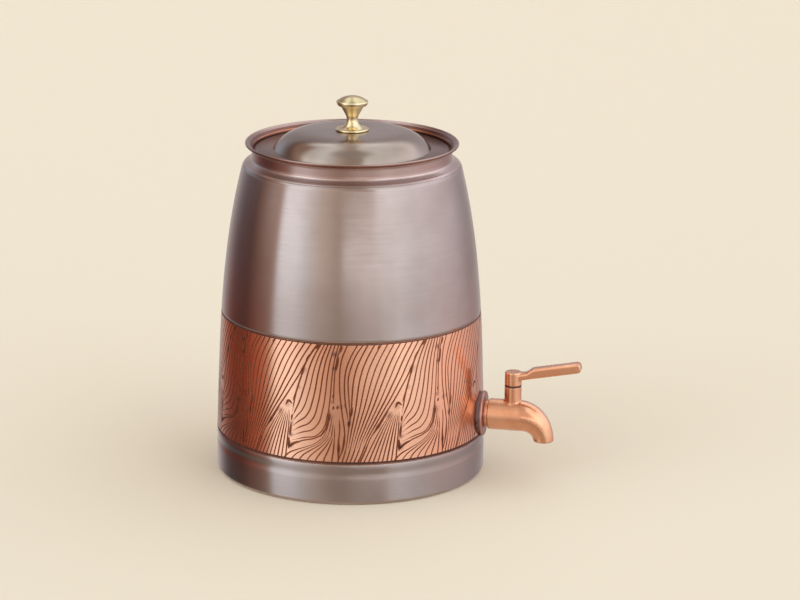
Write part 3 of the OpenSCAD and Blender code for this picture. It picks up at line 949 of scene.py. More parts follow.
@dataclass
class Casting:
    """A solid whose surface is where a distance field is zero."""

    distance: Distance
    low: Sequence[float]
    high: Sequence[float]
    step: float = 0.4
    rubs: ClassVar[Point] = (0.55, 0.16)
    dulls: ClassVar[Point] = (0.8, 0.05)

    def mesh(self, name: str) -> Mesh:
        """Finds the surface on a grid and settles it on the field.

        Args:
            name: Name of the mesh.

        Returns:
            The mesh, with exact normals and its edge and crease numbers stored.
        """
        step = self.step
        ends = [np.arange(a - 2 * step, b + 2.5 * step, step) for a, b in zip(self.low, self.high)]
        grid = np.stack(np.meshgrid(*ends, indexing="ij"), -1)
        values = self.distance(grid)
        cells, points = self._crossings(values)
        numbers = -np.ones([n - 1 for n in values.shape], int)
        numbers[tuple(cells.T)] = np.arange(len(cells))
        points = np.array([end[0] for end in ends]) + (cells + points) * step
        for _ in range(3):
            points = points - self._slope(points)[0] * self.distance(points)[:, None]
        slope, bend = self._slope(points)
        mesh = new_mesh(name, points, self._quads(values, numbers).tolist())
        mesh.normals_split_custom_set_from_vertices(slope.tolist())
        store_wear(mesh, bend, self.rubs, self.dulls)
        return mesh

    def _slope(self, points: Array, reach: float = 0.15) -> tuple[Array, Array]:
        """Gives the field's unit slope and its bend at points."""
        slope = np.zeros_like(points)
        bend = -6.0 * self.distance(points)
        for axis in range(3):
            shift = np.zeros(3)
            shift[axis] = reach
            ahead, behind = self.distance(points + shift), self.distance(points - shift)
            slope[:, axis] = ahead - behind
            bend += ahead + behind
        return slope / np.linalg.norm(slope, axis=1, keepdims=True), bend / reach**2

    @staticmethod
    def _crossings(values: Array) -> tuple[Array, Array]:
        """Gives the cells that the surface passes through, and where in them it lies."""
        corners = [(i, j, k) for i in (0, 1) for j in (0, 1) for k in (0, 1)]
        shape = [n - 1 for n in values.shape]
        seen = [values[i : i + shape[0], j : j + shape[1], k : k + shape[2]] for i, j, k in corners]
        inside = sum((part < 0).astype(int) for part in seen)
        cells = np.argwhere((inside > 0) & (inside < 8))
        at = [part[tuple(cells.T)] for part in seen]
        total, count = np.zeros((len(cells), 3)), np.zeros(len(cells))
        for a, first in enumerate(corners):
            for b, last in enumerate(corners):
                if a >= b or sum(abs(p - q) for p, q in zip(first, last)) != 1:
                    continue
                crossed = (at[a] < 0) != (at[b] < 0)
                share = np.where(crossed, at[a] / np.where(crossed, at[a] - at[b], 1.0), 0.0)
                spot = np.array(first) + share[:, None] * (np.array(last) - np.array(first))
                total += spot * crossed[:, None]
                count += crossed
        return cells, total / count[:, None]

    @staticmethod
    def _quads(values: Array, numbers: Array) -> Array:
        """Joins the points of the four cells round each crossed grid line."""
        quads = []
        for axis in range(3):
            field_up = np.moveaxis(values, axis, 0)
            cell_up = np.moveaxis(numbers, axis, 0)
            inner = field_up[:, 1:-1, 1:-1]
            crossed = np.argwhere((inner[:-1] < 0) != (inner[1:] < 0))
            i, j, k = crossed[:, 0], crossed[:, 1] + 1, crossed[:, 2] + 1
            around = ((j - 1, k - 1), (j, k - 1), (j, k), (j - 1, k))
            ring = np.stack([cell_up[i, a, b] for a, b in around], 1)
            flip = (field_up[i, j, k] < 0) == (axis == 1)
            ring[flip] = ring[flip][:, ::-1]
            quads.append(ring)
        return np.concatenate(quads)


@dataclass
class WallCurve:
    """The outside of the pot's wall: a cubic from the foot band to the shoulder's roll."""

    foot_r: float
    foot_h: float
    top_r: float
    top_z: float
    lean_bottom: float = 2.0
    lean_top: float = 14.0

    def pulls(self) -> tuple[float, float, float, float]:
        """Gives the radii of the cubic's four points."""
        third = (self.top_z - self.foot_h) / 3
        low = self.foot_r - third * math.tan(math.radians(self.lean_bottom))
        high = self.top_r + third * math.tan(math.radians(self.lean_top))
        return self.foot_r, low, high, self.top_r

    def radius(self, z: float | Array) -> float | Array:
        """Gives the wall's outer radius at a height."""
        t = (z - self.foot_h) / (self.top_z - self.foot_h)
        a, b, c, d = self.pulls()
        return (1 - t) ** 3 * a + 3 * (1 - t) ** 2 * t * b + 3 * (1 - t) * t * t * c + t**3 * d

    def slope(self, z: float | Array) -> float | Array:
        """Gives how fast the radius grows with height."""
        t = (z - self.foot_h) / (self.top_z - self.foot_h)
        a, b, c, d = self.pulls()
        rise = 3 * ((1 - t) ** 2 * (b - a) + 2 * (1 - t) * t * (c - b) + t * t * (d - c))
        return rise / (self.top_z - self.foot_h)


@dataclass
class PotShell:
    """The plain shells of the pot: foot band, upper wall, neck and the lid's seat."""

    sheet: float = 1.0
    foot_corner_r: float = 2.2
    foot_lip_h: float = 2.2
    foot_groove_w: float = 9.4
    foot_groove_d: float = 0.29
    press_ring_r: float = 68.0
    press_ring_w: float = 12.0
    press_ring_h: float = 2.5
    edge_bevel: float = 0.35
    shoulder_r: float = 6.0
    lip_w: float = 4.7
    neck_spread: float = 1.3
    cove_r: float = 8.4
    rim_bead_r: float = 1.0
    lip_slope: float = 24.0
    lip_fillet_r: float = 3.0
    skirt_h: float = 7.0
    seat_w: float = 7.0
    seat_leg_h: float = 3.0
    braze_gap: float = 0.05
    braze_turn: float = 28.0
    braze_h: float = 0.45
    # Angles of the painted light: where the painted highlight on the shoulder roll starts, where the
    # painted shade under the rim bead ends, and the bounds of the painted highlight line inside the lip.
    roll_shine: float = 44.0
    rim_shade: float = 28.0
    highlight_angles: tuple[float, float] = (150.0, 160.0)

    def __post_init__(self) -> None:
        """Takes the shells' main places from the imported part."""
        foot = box_mm("base_pan")[1]
        shell_low, shell_high = box_mm("upper_shell")
        rim = box_mm("neck_collar")[1]
        self.foot_r, self.foot_h = foot.x, foot.z
        self.band_top, self.shoulder_z = shell_low.z, shell_high.z
        self.rim_r, self.rim_z = rim.x, rim.z
        self.seat_z = box_mm("lid_seat_ring")[1].z
        self.neck_r = self.rim_r - self.lip_w
        self.mouth_r = self.neck_r + self.neck_spread + self.braze_gap
        out, up = polar(self.shoulder_r, WallCurve.lean_top)
        top_z = self.shoulder_z - self.shoulder_r + up
        self.wall = WallCurve(self.foot_r, self.foot_h, self.mouth_r + out, top_z)

    def build(self) -> None:
        """Builds the four shells."""
        pieces = (
            (self._base_pan(), "turned_base_pan", (ANTIQUE, INSIDE), "base_pan"),
            (self._upper_wall(), "spun_upper_wall", (ANTIQUE, INSIDE, HIGHLIGHT_FILLET), "upper_shell"),
            (self._neck(), "rolled_neck", (NECK, INSIDE, SHADED, HIGHLIGHT_LINE, HIGHLIGHT_FILLET), "neck_collar"),
            (self._seat(), "lid_seat_ledge", (INSIDE,), "lid_seat_ring"),
        )
        for shape, name, coats, node in pieces:
            add_piece(shape.turn(name), Body.POT, coats, node)

    def _base_pan(self) -> Outline:
        """Draws the foot band with its floor and pressed ring."""
        corner = (self.foot_r - self.foot_corner_r, self.foot_corner_r)
        half = self.press_ring_w / 2
        flat = half - self.press_ring_h
        ring = self.press_ring_r
        shift = self.sheet * math.tan(math.radians(22.5))
        raised = self.press_ring_h + self.sheet
        shape = Outline().to((0, 0), (ring - half, 0), (ring - flat, self.press_ring_h))
        shape.to((ring + flat, self.press_ring_h), (ring + half, 0))
        shape.arc(corner, self.foot_corner_r, -90, 0)
        for turn in np.linspace(0.0, 2 * math.pi, 33):
            low = self.foot_h - self.foot_lip_h - self.foot_groove_w * (1 - turn / (2 * math.pi))
            shape.to((self.foot_r - self.foot_groove_d * (1 - math.cos(turn)) / 2, low))
        shape.to((self.foot_r, self.foot_h))
        shape.painted(1).to((self.foot_r - self.sheet, self.foot_h))
        shape.arc(corner, self.foot_corner_r - self.sheet, 0, -90)
        shape.to((ring + half + shift, self.sheet), (ring + flat + shift, raised))
        shape.to((ring - flat - shift, raised), (ring - half - shift, self.sheet), (0, self.sheet))
        return shape.softened(0.3)

    def _upper_wall(self) -> Outline:
        """Draws the spun wall with its rolled shoulder."""
        roll = (self.mouth_r, self.shoulder_z - self.shoulder_r)
        lean = self.wall.lean_top
        low = self.band_top
        shape = Outline().to((self.wall.radius(low) - self.edge_bevel, low))
        shape.along(self.wall, low + self.edge_bevel, self.wall.top_z, 0.0, 60)
        shape.arc(roll, self.shoulder_r, lean, self.roll_shine, 12)
        # Painted highlight: the top of the shoulder roll, from roll_shine up, takes the lighter fillet
        # finish.
        shape.painted(2).arc(roll, self.shoulder_r, self.roll_shine, 90, 12)
        shape.painted(1).arc(roll, self.shoulder_r - self.sheet, 90, lean, 20)
        shape.along(self.wall, self.wall.top_z - self.sheet, low, self.sheet, 60)
        return shape

    def _neck(self) -> Outline:
        """Draws the coved neck with its flared lip and rolled edge."""
        cove_angle = math.degrees(math.acos(1 - self.neck_spread / self.cove_r))
        waist_z = self.shoulder_z + self.cove_r * math.sin(math.radians(cove_angle))
        bead = (self.rim_r - self.rim_bead_r, self.rim_z - self.rim_bead_r)
        lip_r = self.neck_r + self.lip_fillet_r
        slope = math.radians(self.lip_slope)
        lip_z = bead[1] + (lip_r - bead[0]) * math.tan(slope)
        lip_z -= (self.sheet / 2 + self.lip_fillet_r) / math.cos(slope)
        half = math.degrees(math.asin(self.sheet / 2 / self.rim_bead_r))
        cove = (self.neck_r + self.cove_r, waist_z)
        lip = (lip_r, lip_z)
        skirt_r = self.neck_r + self.neck_spread
        skirt_z = self.shoulder_z - self.skirt_h
        shape = Outline().to((skirt_r, skirt_z), (skirt_r, self.shoulder_z - self.sheet))
        # Painted highlight: the braze fillet takes the lighter fillet finish.
        self._braze(shape.painted(4), cove, cove_angle * self.braze_h)
        shape.painted(0).arc(cove, self.cove_r, 180 + cove_angle * self.braze_h, 180, 16)
        shape.arc(lip, self.lip_fillet_r, 180, 90 + self.lip_slope, 16)
        # Painted shade: the underside of the rim bead, up to rim_shade, takes the dark lip finish.
        shape.painted(2).arc(bead, self.rim_bead_r, self.lip_slope - 180 + half, self.rim_shade, 8)
        shape.painted(0).arc(bead, self.rim_bead_r, self.rim_shade, self.lip_slope + 180 - half, 22)
        # Painted shade on the inner side of the lip, with a thin painted highlight line between the
        # highlight angles.
        bounds = (90 + self.lip_slope, *self.highlight_angles, 180.0)
        for coat, first, last in zip((2, 3, 2), bounds, bounds[1:]):
            shape.painted(coat).arc(lip, self.lip_fillet_r + self.sheet, first, last, 8)
        shape.painted(1).arc(cove, self.cove_r + self.sheet, 180, 180 + cove_angle, 20)
        shape.to((skirt_r - self.sheet, skirt_z))
        return shape

    def _braze(self, shape: Outline, cove: Point, cove_angle: float) -> None:
        """Adds the soft fillet of braze between the shoulder and the neck's cove.

        Args:
            shape: The neck's outline.
            cove: Centre of the neck's cove.
            cove_angle: Angle below the cove's waist where the fillet ends.
        """
        out, up = polar(1.0, 90 - self.braze_turn)
        toe = np.array([self.mouth_r + self.shoulder_r * out, self.shoulder_z - self.shoulder_r * (1 - up)])
        toe -= (0.0, self.braze_gap)
        across, down = polar(1.0, cove_angle)
        top = np.array(cove) - self.cove_r * np.array([across, down])
        leave, arrive = np.array([-up, out]), np.array([down, -across])
        reach = np.linalg.solve(np.stack([leave, -arrive], 1), top - toe)[0]
        corner = toe + reach * leave
        shape.cubic(toe, (toe + 2 * corner) / 3, (top + 2 * corner) / 3, top, 14)

    def _seat(self) -> Outline:
        """Draws the ledge that carries the lid."""
        leg = self.neck_r - self.sheet - self.braze_gap
        inner = leg + self.braze_gap - self.seat_w
        under = self.seat_z - self.sheet
        foot = self.seat_z - self.seat_leg_h
        shape = Outline().to((inner, self.seat_z), (inner, under), (leg - self.sheet, under))
        shape.to((leg - self.sheet, foot), (leg, foot), (leg, self.seat_z))
        return shape.softened(0.25)


def spline(points: Sequence[Point], spacing: float) -> Array:
    """Draws a smooth curve through points.

    Args:
        points: The points that it passes through.
        spacing: Distance between the points that come back.

    Returns:
        Rows of points along the curve.
    """
    knots = np.array(points, float)
    gaps = np.hypot(*np.diff(knots, axis=0).T)
    at = np.concatenate([[0.0], np.cumsum(gaps)])
    straight = np.repeat(np.diff(knots, axis=0)[:1] / gaps[0], 2, 0)
    slopes = np.gradient(knots, at, axis=0) if len(knots) > 2 else straight
    count = max(4, int(round(at[-1] / spacing)) + 1)
    where = np.linspace(0.0, at[-1], count)
    span = np.clip(np.searchsorted(at, where, "right") - 1, 0, len(gaps) - 1)
    width = gaps[span][:, None]
    t = ((where - at[span]) / gaps[span])[:, None]
    a, b, m, n = knots[span], knots[span + 1], slopes[span], slopes[span + 1]
    return (
        (2 * t**3 - 3 * t**2 + 1) * a
        + (t**3 - 2 * t**2 + t) * width * m
        + (3 * t**2 - 2 * t**3) * b
        + (t**3 - t**2) * width * n
    )


@dataclass(frozen=True)
class GrainFan:
    """Grain lines that change evenly from one guide line to another, in shares of a repeat."""

    first: tuple[Point, ...]
    last: tuple[Point, ...] = ()
    count: int = 1
    room: float = 1.2

    def lines(self, wide: float, high: float, spacing: float) -> list[Ribbon]:
        """Draws the lines, and leaves stretches of them out where they would crowd each other.

        Args:
            wide: Width of a repeat.
            high: Height of the etched field.
            spacing: Distance between points.

        Returns:
            For each stretch of a line its points, and the clear distance beside each point.
        """
        size = np.array([wide, high])
        ends = [spline(np.array(guide) * size, spacing) for guide in (self.first, self.last or self.first)]
        count = max(len(end) for end in ends)
        steps = np.linspace(0.0, 1.0, count)
        even = []
        for end in ends:
            at = np.linspace(0.0, 1.0, len(end))
            even.append(np.stack([np.interp(steps, at, way) for way in end.T], 1))
        rows = [(1 - share) * even[0] + share * even[1] for share in np.linspace(0.0, 1.0, self.count)]
        drawn = []
        for index, row in enumerate(rows):
            before, after = max(index - 1, 0), min(index + 1, self.count - 1)
            across = (rows[after] - rows[before]) / max(after - before, 1)
            along = np.gradient(row, axis=0)
            near = np.abs(across[:, 0] * along[:, 1] - across[:, 1] * along[:, 0]) / np.hypot(*along.T)
            near = near + 1e-6 if self.count > 1 else np.full(count, 10 * self.room)
            outer = index in (0, self.count - 1)
            rank = 4 if outer or index % 4 == 0 else 2 if index % 2 == 0 else 1
            clear = near * rank > self.room if rank < 4 else np.ones(count, bool)
            gap = near * np.exp2(np.ceil(np.log2(np.maximum(self.room / near, 1.0))).clip(0, 2))
            drawn.extend((row[run], gap[run]) for run in stretches(clear))
        return drawn


def stretches(wanted: Array, least: int = 5) -> list[Array]:
    """Gives the index runs of a row of flags where they stay set.

    Args:
        wanted: The flags.
        least: Shortest run that counts.

    Returns:
        The indices of each run.
    """
    cuts = np.flatnonzero(np.diff(wanted.astype(int))) + 1
    runs = np.split(np.arange(len(wanted)), cuts)
    return [run for run in runs if wanted[run[0]] and len(run) >= least]


GRAIN_FANS = (
    GrainFan(
        (
            (0.055, 0.0), (0.085, 0.1), (0.115, 0.3), (0.135, 0.45), (0.145, 0.6), (0.155, 0.7),
            (0.18, 0.8), (0.225, 0.9), (0.285, 1.0),
        ),
        (
            (0.21, 0.0), (0.25, 0.08), (0.3, 0.2), (0.37, 0.31), (0.46, 0.44), (0.53, 0.535),
            (0.6, 0.64), (0.66, 0.73), (0.71, 0.82), (0.76, 0.9), (0.83, 1.0),
        ),
        10, 1.4,
    ),
    GrainFan(
        ((0.245, 0.0), (0.32, 0.15), (0.4, 0.29), (0.47, 0.39), (0.505, 0.43)),
        ((0.535, 0.0), (0.55, 0.15), (0.562, 0.28), (0.567, 0.37), (0.57, 0.42)),
        8, 0.8,
    ),
    GrainFan(
        ((0.598, 0.4), (0.615, 0.5), (0.64, 0.6), (0.675, 0.7), (0.715, 0.82), (0.77, 0.92), (0.83, 1.0)),
        (
            (0.6, 0.165), (0.72, 0.2), (0.82, 0.22), (0.885, 0.28), (0.925, 0.4), (0.948, 0.55),
            (0.96, 0.7), (0.98, 0.85), (1.02, 1.0),
        ),
        7, 1.1,
    ),
    GrainFan(
        (
            (0.515, 0.0), (0.575, 0.055), (0.65, 0.09), (0.73, 0.12), (0.82, 0.16), (0.89, 0.22),
            (0.935, 0.33), (0.955, 0.43),
        ),
        ((0.965, 0.0), (0.98, 0.1), (0.988, 0.2), (0.99, 0.32)),
        7, 1.0,
    ),
    GrainFan(
        (
            (0.565, 0.095), (0.62, 0.135), (0.7, 0.172), (0.8, 0.197), (0.88, 0.24), (0.93, 0.36),
            (0.948, 0.46),
        ),
    ),
    GrainFan(
        (
            (0.015, 0.0), (0.065, 0.13), (0.08, 0.24), (0.075, 0.3), (0.055, 0.42), (0.045, 0.5),
            (0.035, 0.58), (0.03, 0.7), (0.035, 0.8), (0.05, 0.88), (0.1, 1.0),
        ),
    ),
    GrainFan(
        ((0.022, 0.0), (0.025, 0.1), (0.028, 0.2), (0.035, 0.3), (0.03, 0.38)),
    ),
    GrainFan(
        ((-0.022, 0.5), (-0.02, 0.6), (-0.016, 0.7), (-0.008, 0.8), (0.012, 0.9), (0.045, 1.0)),
    ),
    GrainFan(
        (
            (0.115, 0.33), (0.1, 0.42), (0.085, 0.5), (0.075, 0.6), (0.075, 0.7), (0.09, 0.8),
            (0.13, 0.9), (0.19, 1.0),
        ),
        (
            (0.122, 0.36), (0.118, 0.5), (0.11, 0.6), (0.108, 0.72), (0.135, 0.82), (0.18, 0.92),
            (0.24, 1.0),
        ),
        2,
    ),
    GrainFan(
        ((0.6, 0.5), (0.63, 0.58), (0.66, 0.67), (0.685, 0.74)),
    ),
)

GRAIN_KNOTS = (
    ((0.0, 0.78), (0.01, 0.84), (0.022, 0.9)), ((0.03, 0.93), (0.055, 0.99)),
    ((-0.03, 0.55), (-0.016, 0.59)), ((-0.028, 0.45), (-0.018, 0.485)), ((0.01, 0.455), (0.018, 0.49)),
    ((0.088, 0.46), (0.08, 0.52)), ((0.113, 0.3), (0.118, 0.36)), ((0.128, 0.38), (0.147, 0.48)),
    ((0.024, 0.02), (0.026, 0.12), (0.024, 0.22)), ((0.055, 0.08), (0.072, 0.17), (0.08, 0.27)),
    ((0.31, 0.22), (0.39, 0.33), (0.47, 0.445)), ((0.53, 0.455), (0.56, 0.498), (0.598, 0.47)),
    ((0.59, 0.33), (0.596, 0.39)), ((0.574, 0.2), (0.582, 0.26), (0.588, 0.31)),
    ((0.567, 0.085), (0.567, 0.19)), ((0.56, 0.09), (0.61, 0.135), (0.7, 0.17)),
    ((0.86, 0.215), (0.92, 0.3)), ((0.675, 0.71), (0.7, 0.775)), ((0.715, 0.83), (0.755, 0.91)),
    ((0.81, 0.955), (0.85, 0.995)), ((0.37, 0.96), (0.4, 0.995)),
)

GRAIN_STAINS = (
    (0.545, 0.47, 4.0, 0.45), (0.475, 0.4, 3.4, 0.6), (0.585, 0.31, 2.8, 0.7), (0.583, 0.21, 2.6, 0.8),
    (0.578, 0.12, 3.6, 1.0), (0.378, 0.31, 3.0, 0.6), (0.7, 0.775, 3.2, 0.6), (0.655, 0.62, 2.8, 0.4),
    (0.985, 0.92, 3.2, 0.8), (0.982, 0.8, 2.6, 0.7), (0.968, 0.52, 2.4, 0.6), (0.95, 0.39, 4.0, 0.7),
    (1.045, 0.48, 2.6, 0.6), (1.115, 0.34, 2.8, 0.7), (1.03, 0.12, 3.0, 0.6),
)


@dataclass
class FlatSheet:
    """Part of the wall laid flat and cut into triangles, with a material index for each."""

    points: Array
    faces: Array
    coats: Array
    sunk: Array
    hole: list[int]


@dataclass
class EtchedWall:
    """The bright wall course with wood grain lines etched into it and blackened."""

    shell: PotShell
    repeats: int = 8
    front: float = -78.0
    phase: float = -5.9
    front_stretch: float = 0.0511
    border_low: float = 1.4
    border_high: float = 0.9
    border_low_w: float = 1.8
    border_high_w: float = 0.9
    line_w: float = 0.98
    open_gap: float = 2.2
    thinnest: float = 0.5
    knot_w: float = 1.6
    groove: float = 0.14
    spacing: float = 2.4
    columns: int = 30
    lap_h: float = 9.0
    joggle_h: float = 2.5
    hole_r: float = 8.3
    clear_r: float = 13.0
    hole_sides: int = 48
    levels: int = 14
    smooth_cosine: float = 0.97
    etch_coat: ClassVar[int] = 1
    inside_coat: ClassVar[int] = 2
    seam_and_shade_coat: ClassVar[int] = 3

    def __post_init__(self) -> None:
        """Works out the sheet's flat size and where the tap goes through it."""
        shell = self.shell
        self.low = shell.foot_h + shell.edge_bevel
        self.high = shell.band_top - shell.edge_bevel
        self.middle_r = shell.wall.radius((self.low + self.high) / 2)
        self.tile = 2 * math.pi * self.middle_r / self.repeats
        self.tap_z = middle_mm("tap_escutcheon").z
        self.tap_flat = float(self.flat(0.0)) % (self.tile * self.repeats)

    def build(self) -> None:
        """Builds the etched wall as one closed solid."""
        add_piece(self._mesh(), Body.POT, (BRIGHT, OXIDE, INSIDE, SEAM_AND_SHADE), "etched_band")

    def angle(self, flat: Array) -> Array:
        """Turns places along the sheet into angles in radians, a little stretched at the front."""
        even = np.asarray(flat) / self.middle_r + math.radians(self.phase)
        return even + self.front_stretch * np.sin(even) + math.radians(self.front)

    def flat(self, angle: Array) -> Array:
        """Turns angles round the pot, in radians, back into places along the sheet."""
        turned = np.asarray(angle) - math.radians(self.front)
        even = turned
        for _ in range(8):
            even = turned - self.front_stretch * np.sin(even)
        return (even - math.radians(self.phase)) * self.middle_r

    def _field(self) -> tuple[float, float]:
        """Gives where the etched field starts, and its height."""
        base = self.shell.foot_h + self.border_low
        return base, self.shell.band_top - self.border_high - base

    def _stain_points(self) -> Array:
        """Spreads points round the stains of one repeat, so that their edges come out soft."""
        base, high = self._field()
        rows = []
        for share, height, radius, _ in GRAIN_STAINS:
            middle = np.array([share % 1.0 * self.tile, base + height * high])
            for ring, count in ((0.0, 1), (0.35, 6), (0.7, 9), (1.0, 12)):
                rows.extend(middle + polar(ring * radius, 360.0 * i / count) for i in range(count))
        rows = np.array(rows)
        rows[:, 0] %= self.tile
        inside = (rows[:, 0] > 0.5) & (rows[:, 0] < self.tile - 0.5)
        return rows[inside & (rows[:, 1] > base + 1.5) & (rows[:, 1] < base + high - 1.0)]

    def _stain(self, spots: Array) -> Array:
        """Gives how dark the stains are at places on the wall."""
        base, high = self._field()
        along = self.flat(np.arctan2(spots[:, 1], spots[:, 0]))
        dark = np.zeros(len(spots))
        for share, height, radius, strength in GRAIN_STAINS:
            gap = (along - share * self.tile + self.tile / 2) % self.tile - self.tile / 2
            away = np.hypot(gap, spots[:, 2] - base - height * high)
            dark = np.maximum(dark, strength * eased(1.0 - away / radius))
        return dark

    def _ribbons(self) -> list[Ribbon]:
        """Draws the middle lines and half widths of every groove in one repeat."""
        base, high = self._field()
        ribbons = []
        for number, fan in enumerate(GRAIN_FANS):
            for index, (line, gap) in enumerate(fan.lines(self.tile, high, self.spacing)):
                wide = self.line_w * (0.85 + 0.3 * steady_noise(number * 20 + index))
                wide = wide * np.clip(gap / self.open_gap, self.thinnest, 1.0)
                ribbons.append((line + (0.0, base), wide / 2 * self._taper(line, high)))
        for index, knot in enumerate(GRAIN_KNOTS):
            line = spline([(s * self.tile, base + h * high) for s, h in knot], 1.2)
            t = np.linspace(0.0, 1.0, len(line))
            wide = self.knot_w * (0.8 + 0.4 * steady_noise(300 + index))
            ribbons.append((line, wide / 2 * np.maximum(np.sin(math.pi * t) ** 0.7, 0.12)))
        return ribbons

    @staticmethod
    def _taper(line: Array, high: float) -> Array:
        """Thins a line out where it ends within the etched field.

        Args:
            line: The line's points above the lower border.
            high: Height of the etched field.

        Returns:
            The share of its width that the line has at each point.
        """
        t = np.linspace(0.0, 1.0, len(line))
        share = np.ones(len(line))
        for along, height in ((t, line[0, 1]), (1 - t, line[-1, 1])):
            if 0.03 < height / high < 0.97:
                share = np.minimum(share, np.clip(along / 0.1, 0.25, 1.0))
        return share

    def _sheet(
        self, low: float, high: float, ribbons: Sequence[Ribbon] = (), borders: Sequence[Ribbon] = (),
        hole: Sequence[Point] = (),
    ) -> FlatSheet:
        """Cuts one repeat of the wall into triangles along its grooves.

        Args:
            low: Lower edge of the sheet.
            high: Upper edge of the sheet.
            ribbons: Middle lines and half widths of its grooves.
            borders: The same of its border lines.
            hole: Flat outline of a hole, if there is one.

        Returns:
            The flat sheet.
        """
        spots: list[Vector] = []
        edges: list[tuple[int, int]] = []
        faces: list[list[int]] = []

        def put(rows: Iterable[Point]) -> list[int]:
            """Adds points and gives their numbers."""
            first = len(spots)
            spots.extend(Vector((float(row[0]), float(row[1]))) for row in rows)
            return list(range(first, len(spots)))

        across = np.linspace(0.0, self.tile, self.columns + 1)
        levels = np.linspace(low, high, self.levels + 1)
        frame_line = [(x, low) for x in across] + [(self.tile, z) for z in levels[1:-1]]
        frame_line += [(x, high) for x in across[::-1]] + [(0.0, z) for z in levels[-2:0:-1]]
        faces.append(put(frame_line))
        put([(x, z) for x in across[2:-1:2] for z in levels[1:-1]])
        holes = put(hole)
        if holes:
            faces.append(holes)
        if ribbons:
            put(self._stain_points())
        plain = len(faces)
        for line, half in [*ribbons, *borders]:
            along = np.gradient(line, axis=0)
            side = np.stack([-along[:, 1], along[:, 0]], 1) / np.hypot(*along.T)[:, None] * half[:, None]
            left, right = put(line + side), put(line - side)
            middle = put(line[1:-1])
            faces.append(right + left[::-1])
            edges.extend(zip(middle[:-1], middle[1:]))
        flat, _, made, sources, _, owners = delaunay_2d_cdt(spots, edges, faces, 0, 1e-4, True)
        kept = [i for i, own in enumerate(owners) if 0 in own and not (holes and 1 in own)]
        triangles = np.array([made[i] for i in kept])
        newest = np.array([max(owners[i]) for i in kept])
        coats = np.where(newest >= plain, self.etch_coat, 0)
        # The border lines take the darker border finish: blackened etch plus painted shade at the seams.
        coats[newest >= plain + len(ribbons)] = self.seam_and_shade_coat
        sunk = np.ones(len(flat), bool)
        sunk[triangles[coats == 0].ravel()] = False
        numbers = {source: index for index, group in enumerate(sources) for source in group}
        return FlatSheet(np.array(flat), triangles, coats, sunk, [numbers[h] for h in holes])

    def _clear_of_tap(self, ribbons: Sequence[Ribbon], start: float) -> list[Ribbon]:
        """Leaves the wall plain under the tap's flange plate.

        Args:
            ribbons: The grooves of one repeat.
            start: Flat place where the repeat starts.

        Returns:
            The grooves outside the plain disc.
        """
        result = []
        for line, half in ribbons:
            away = np.hypot(line[:, 0] + start - self.tap_flat, line[:, 1] - self.tap_z) > self.clear_r
            result.extend((line[run], half[run]) for run in stretches(away))
        return result

    def _hole(self, inset: float, start: float) -> Array:
        """Draws the tap's hole on the flat sheet.

        Args:
            inset: Distance inwards from the wall's outside.
            start: Flat place where the repeat starts.

        Returns:
            Rows of flat points.
        """
        turn = np.linspace(0.0, 2 * math.pi, self.hole_sides, endpoint=False)
        z = self.tap_z + self.hole_r * np.sin(turn)
        y = self.hole_r * np.cos(turn)
        angle = np.arcsin(y / (self.shell.wall.radius(z) - inset))
        even = self.tap_flat / self.middle_r + math.radians(self.phase)
        stretch = 1 + self.front_stretch * math.cos(even)
        return np.stack([self.tap_flat - start + angle * self.middle_r / stretch, z], 1)

    def _place(self, flat: Array, start: float, inset: Array | float) -> Array:
        """Bends flat points round the pot.

        Args:
            flat: Rows of flat points.
            start: Flat place where the repeat starts.
            inset: Distance inwards from the wall's outside.

        Returns:
            Rows of x, y and z.
        """
        angle = self.angle(flat[:, 0] + start)
        radius = self.shell.wall.radius(flat[:, 1]) - inset
        return np.stack([radius * np.cos(angle), radius * np.sin(angle), flat[:, 1]], 1)

    def _near(self) -> list[Ribbon]:
        """Gives the grooves of one repeat and those of its neighbours that reach into it."""
        three = [(line + (k * self.tile, 0.0), half) for k in (-1, 0, 1) for line, half in self._ribbons()]
        return [(a, half) for a, half in three if a[:, 0].max() > -1 and a[:, 0].min() < self.tile + 1]

    def _borders(self) -> list[Ribbon]:
        """Draws the middle lines and half widths of the two border lines."""
        across = np.linspace(-1.0, self.tile + 1.0, self.columns + 1)
        low = (self.shell.foot_h + self.border_low, self.border_low_w)
        high = (self.shell.band_top - self.border_high, self.border_high_w)
        flat = np.ones(len(across))
        return [(np.stack([across, flat * z], 1), flat * wide / 2) for z, wide in (low, high)]

    def _laps(self, inner_low: float, inner_high: float) -> tuple[Outline, Outline]:
        """Draws the laps that go behind the neighbouring shells.

        Args:
            inner_low: Height where the sheet's inside starts.
            inner_high: Height where it ends.

        Returns:
            The lower and the upper lap, each from one face of the sheet to the other.
        """
        shell, wall, sheet = self.shell, self.shell.wall, self.shell.sheet
        foot, top = shell.foot_h, shell.band_top
        lap_r = shell.foot_r - sheet - shell.braze_gap
        lap_in = sheet + shell.braze_gap
        lower = Outline().to((wall.radius(inner_low) - sheet, inner_low), (lap_r - sheet, foot))
        lower.to((lap_r - sheet, foot - self.lap_h), (lap_r, foot - self.lap_h), (lap_r, foot))
        lower.to((wall.radius(foot) - shell.edge_bevel, foot), (wall.radius(self.low), self.low))
        upper = Outline().to((wall.radius(self.high), self.high))
        upper.to((wall.radius(top) - shell.edge_bevel, top))
        upper.along(wall, top, top + self.lap_h, lap_in, 6)
        upper.along(wall, top + self.lap_h, top, lap_in + sheet, 6)
        return lower, upper.to((wall.radius(inner_high) - sheet, inner_high))

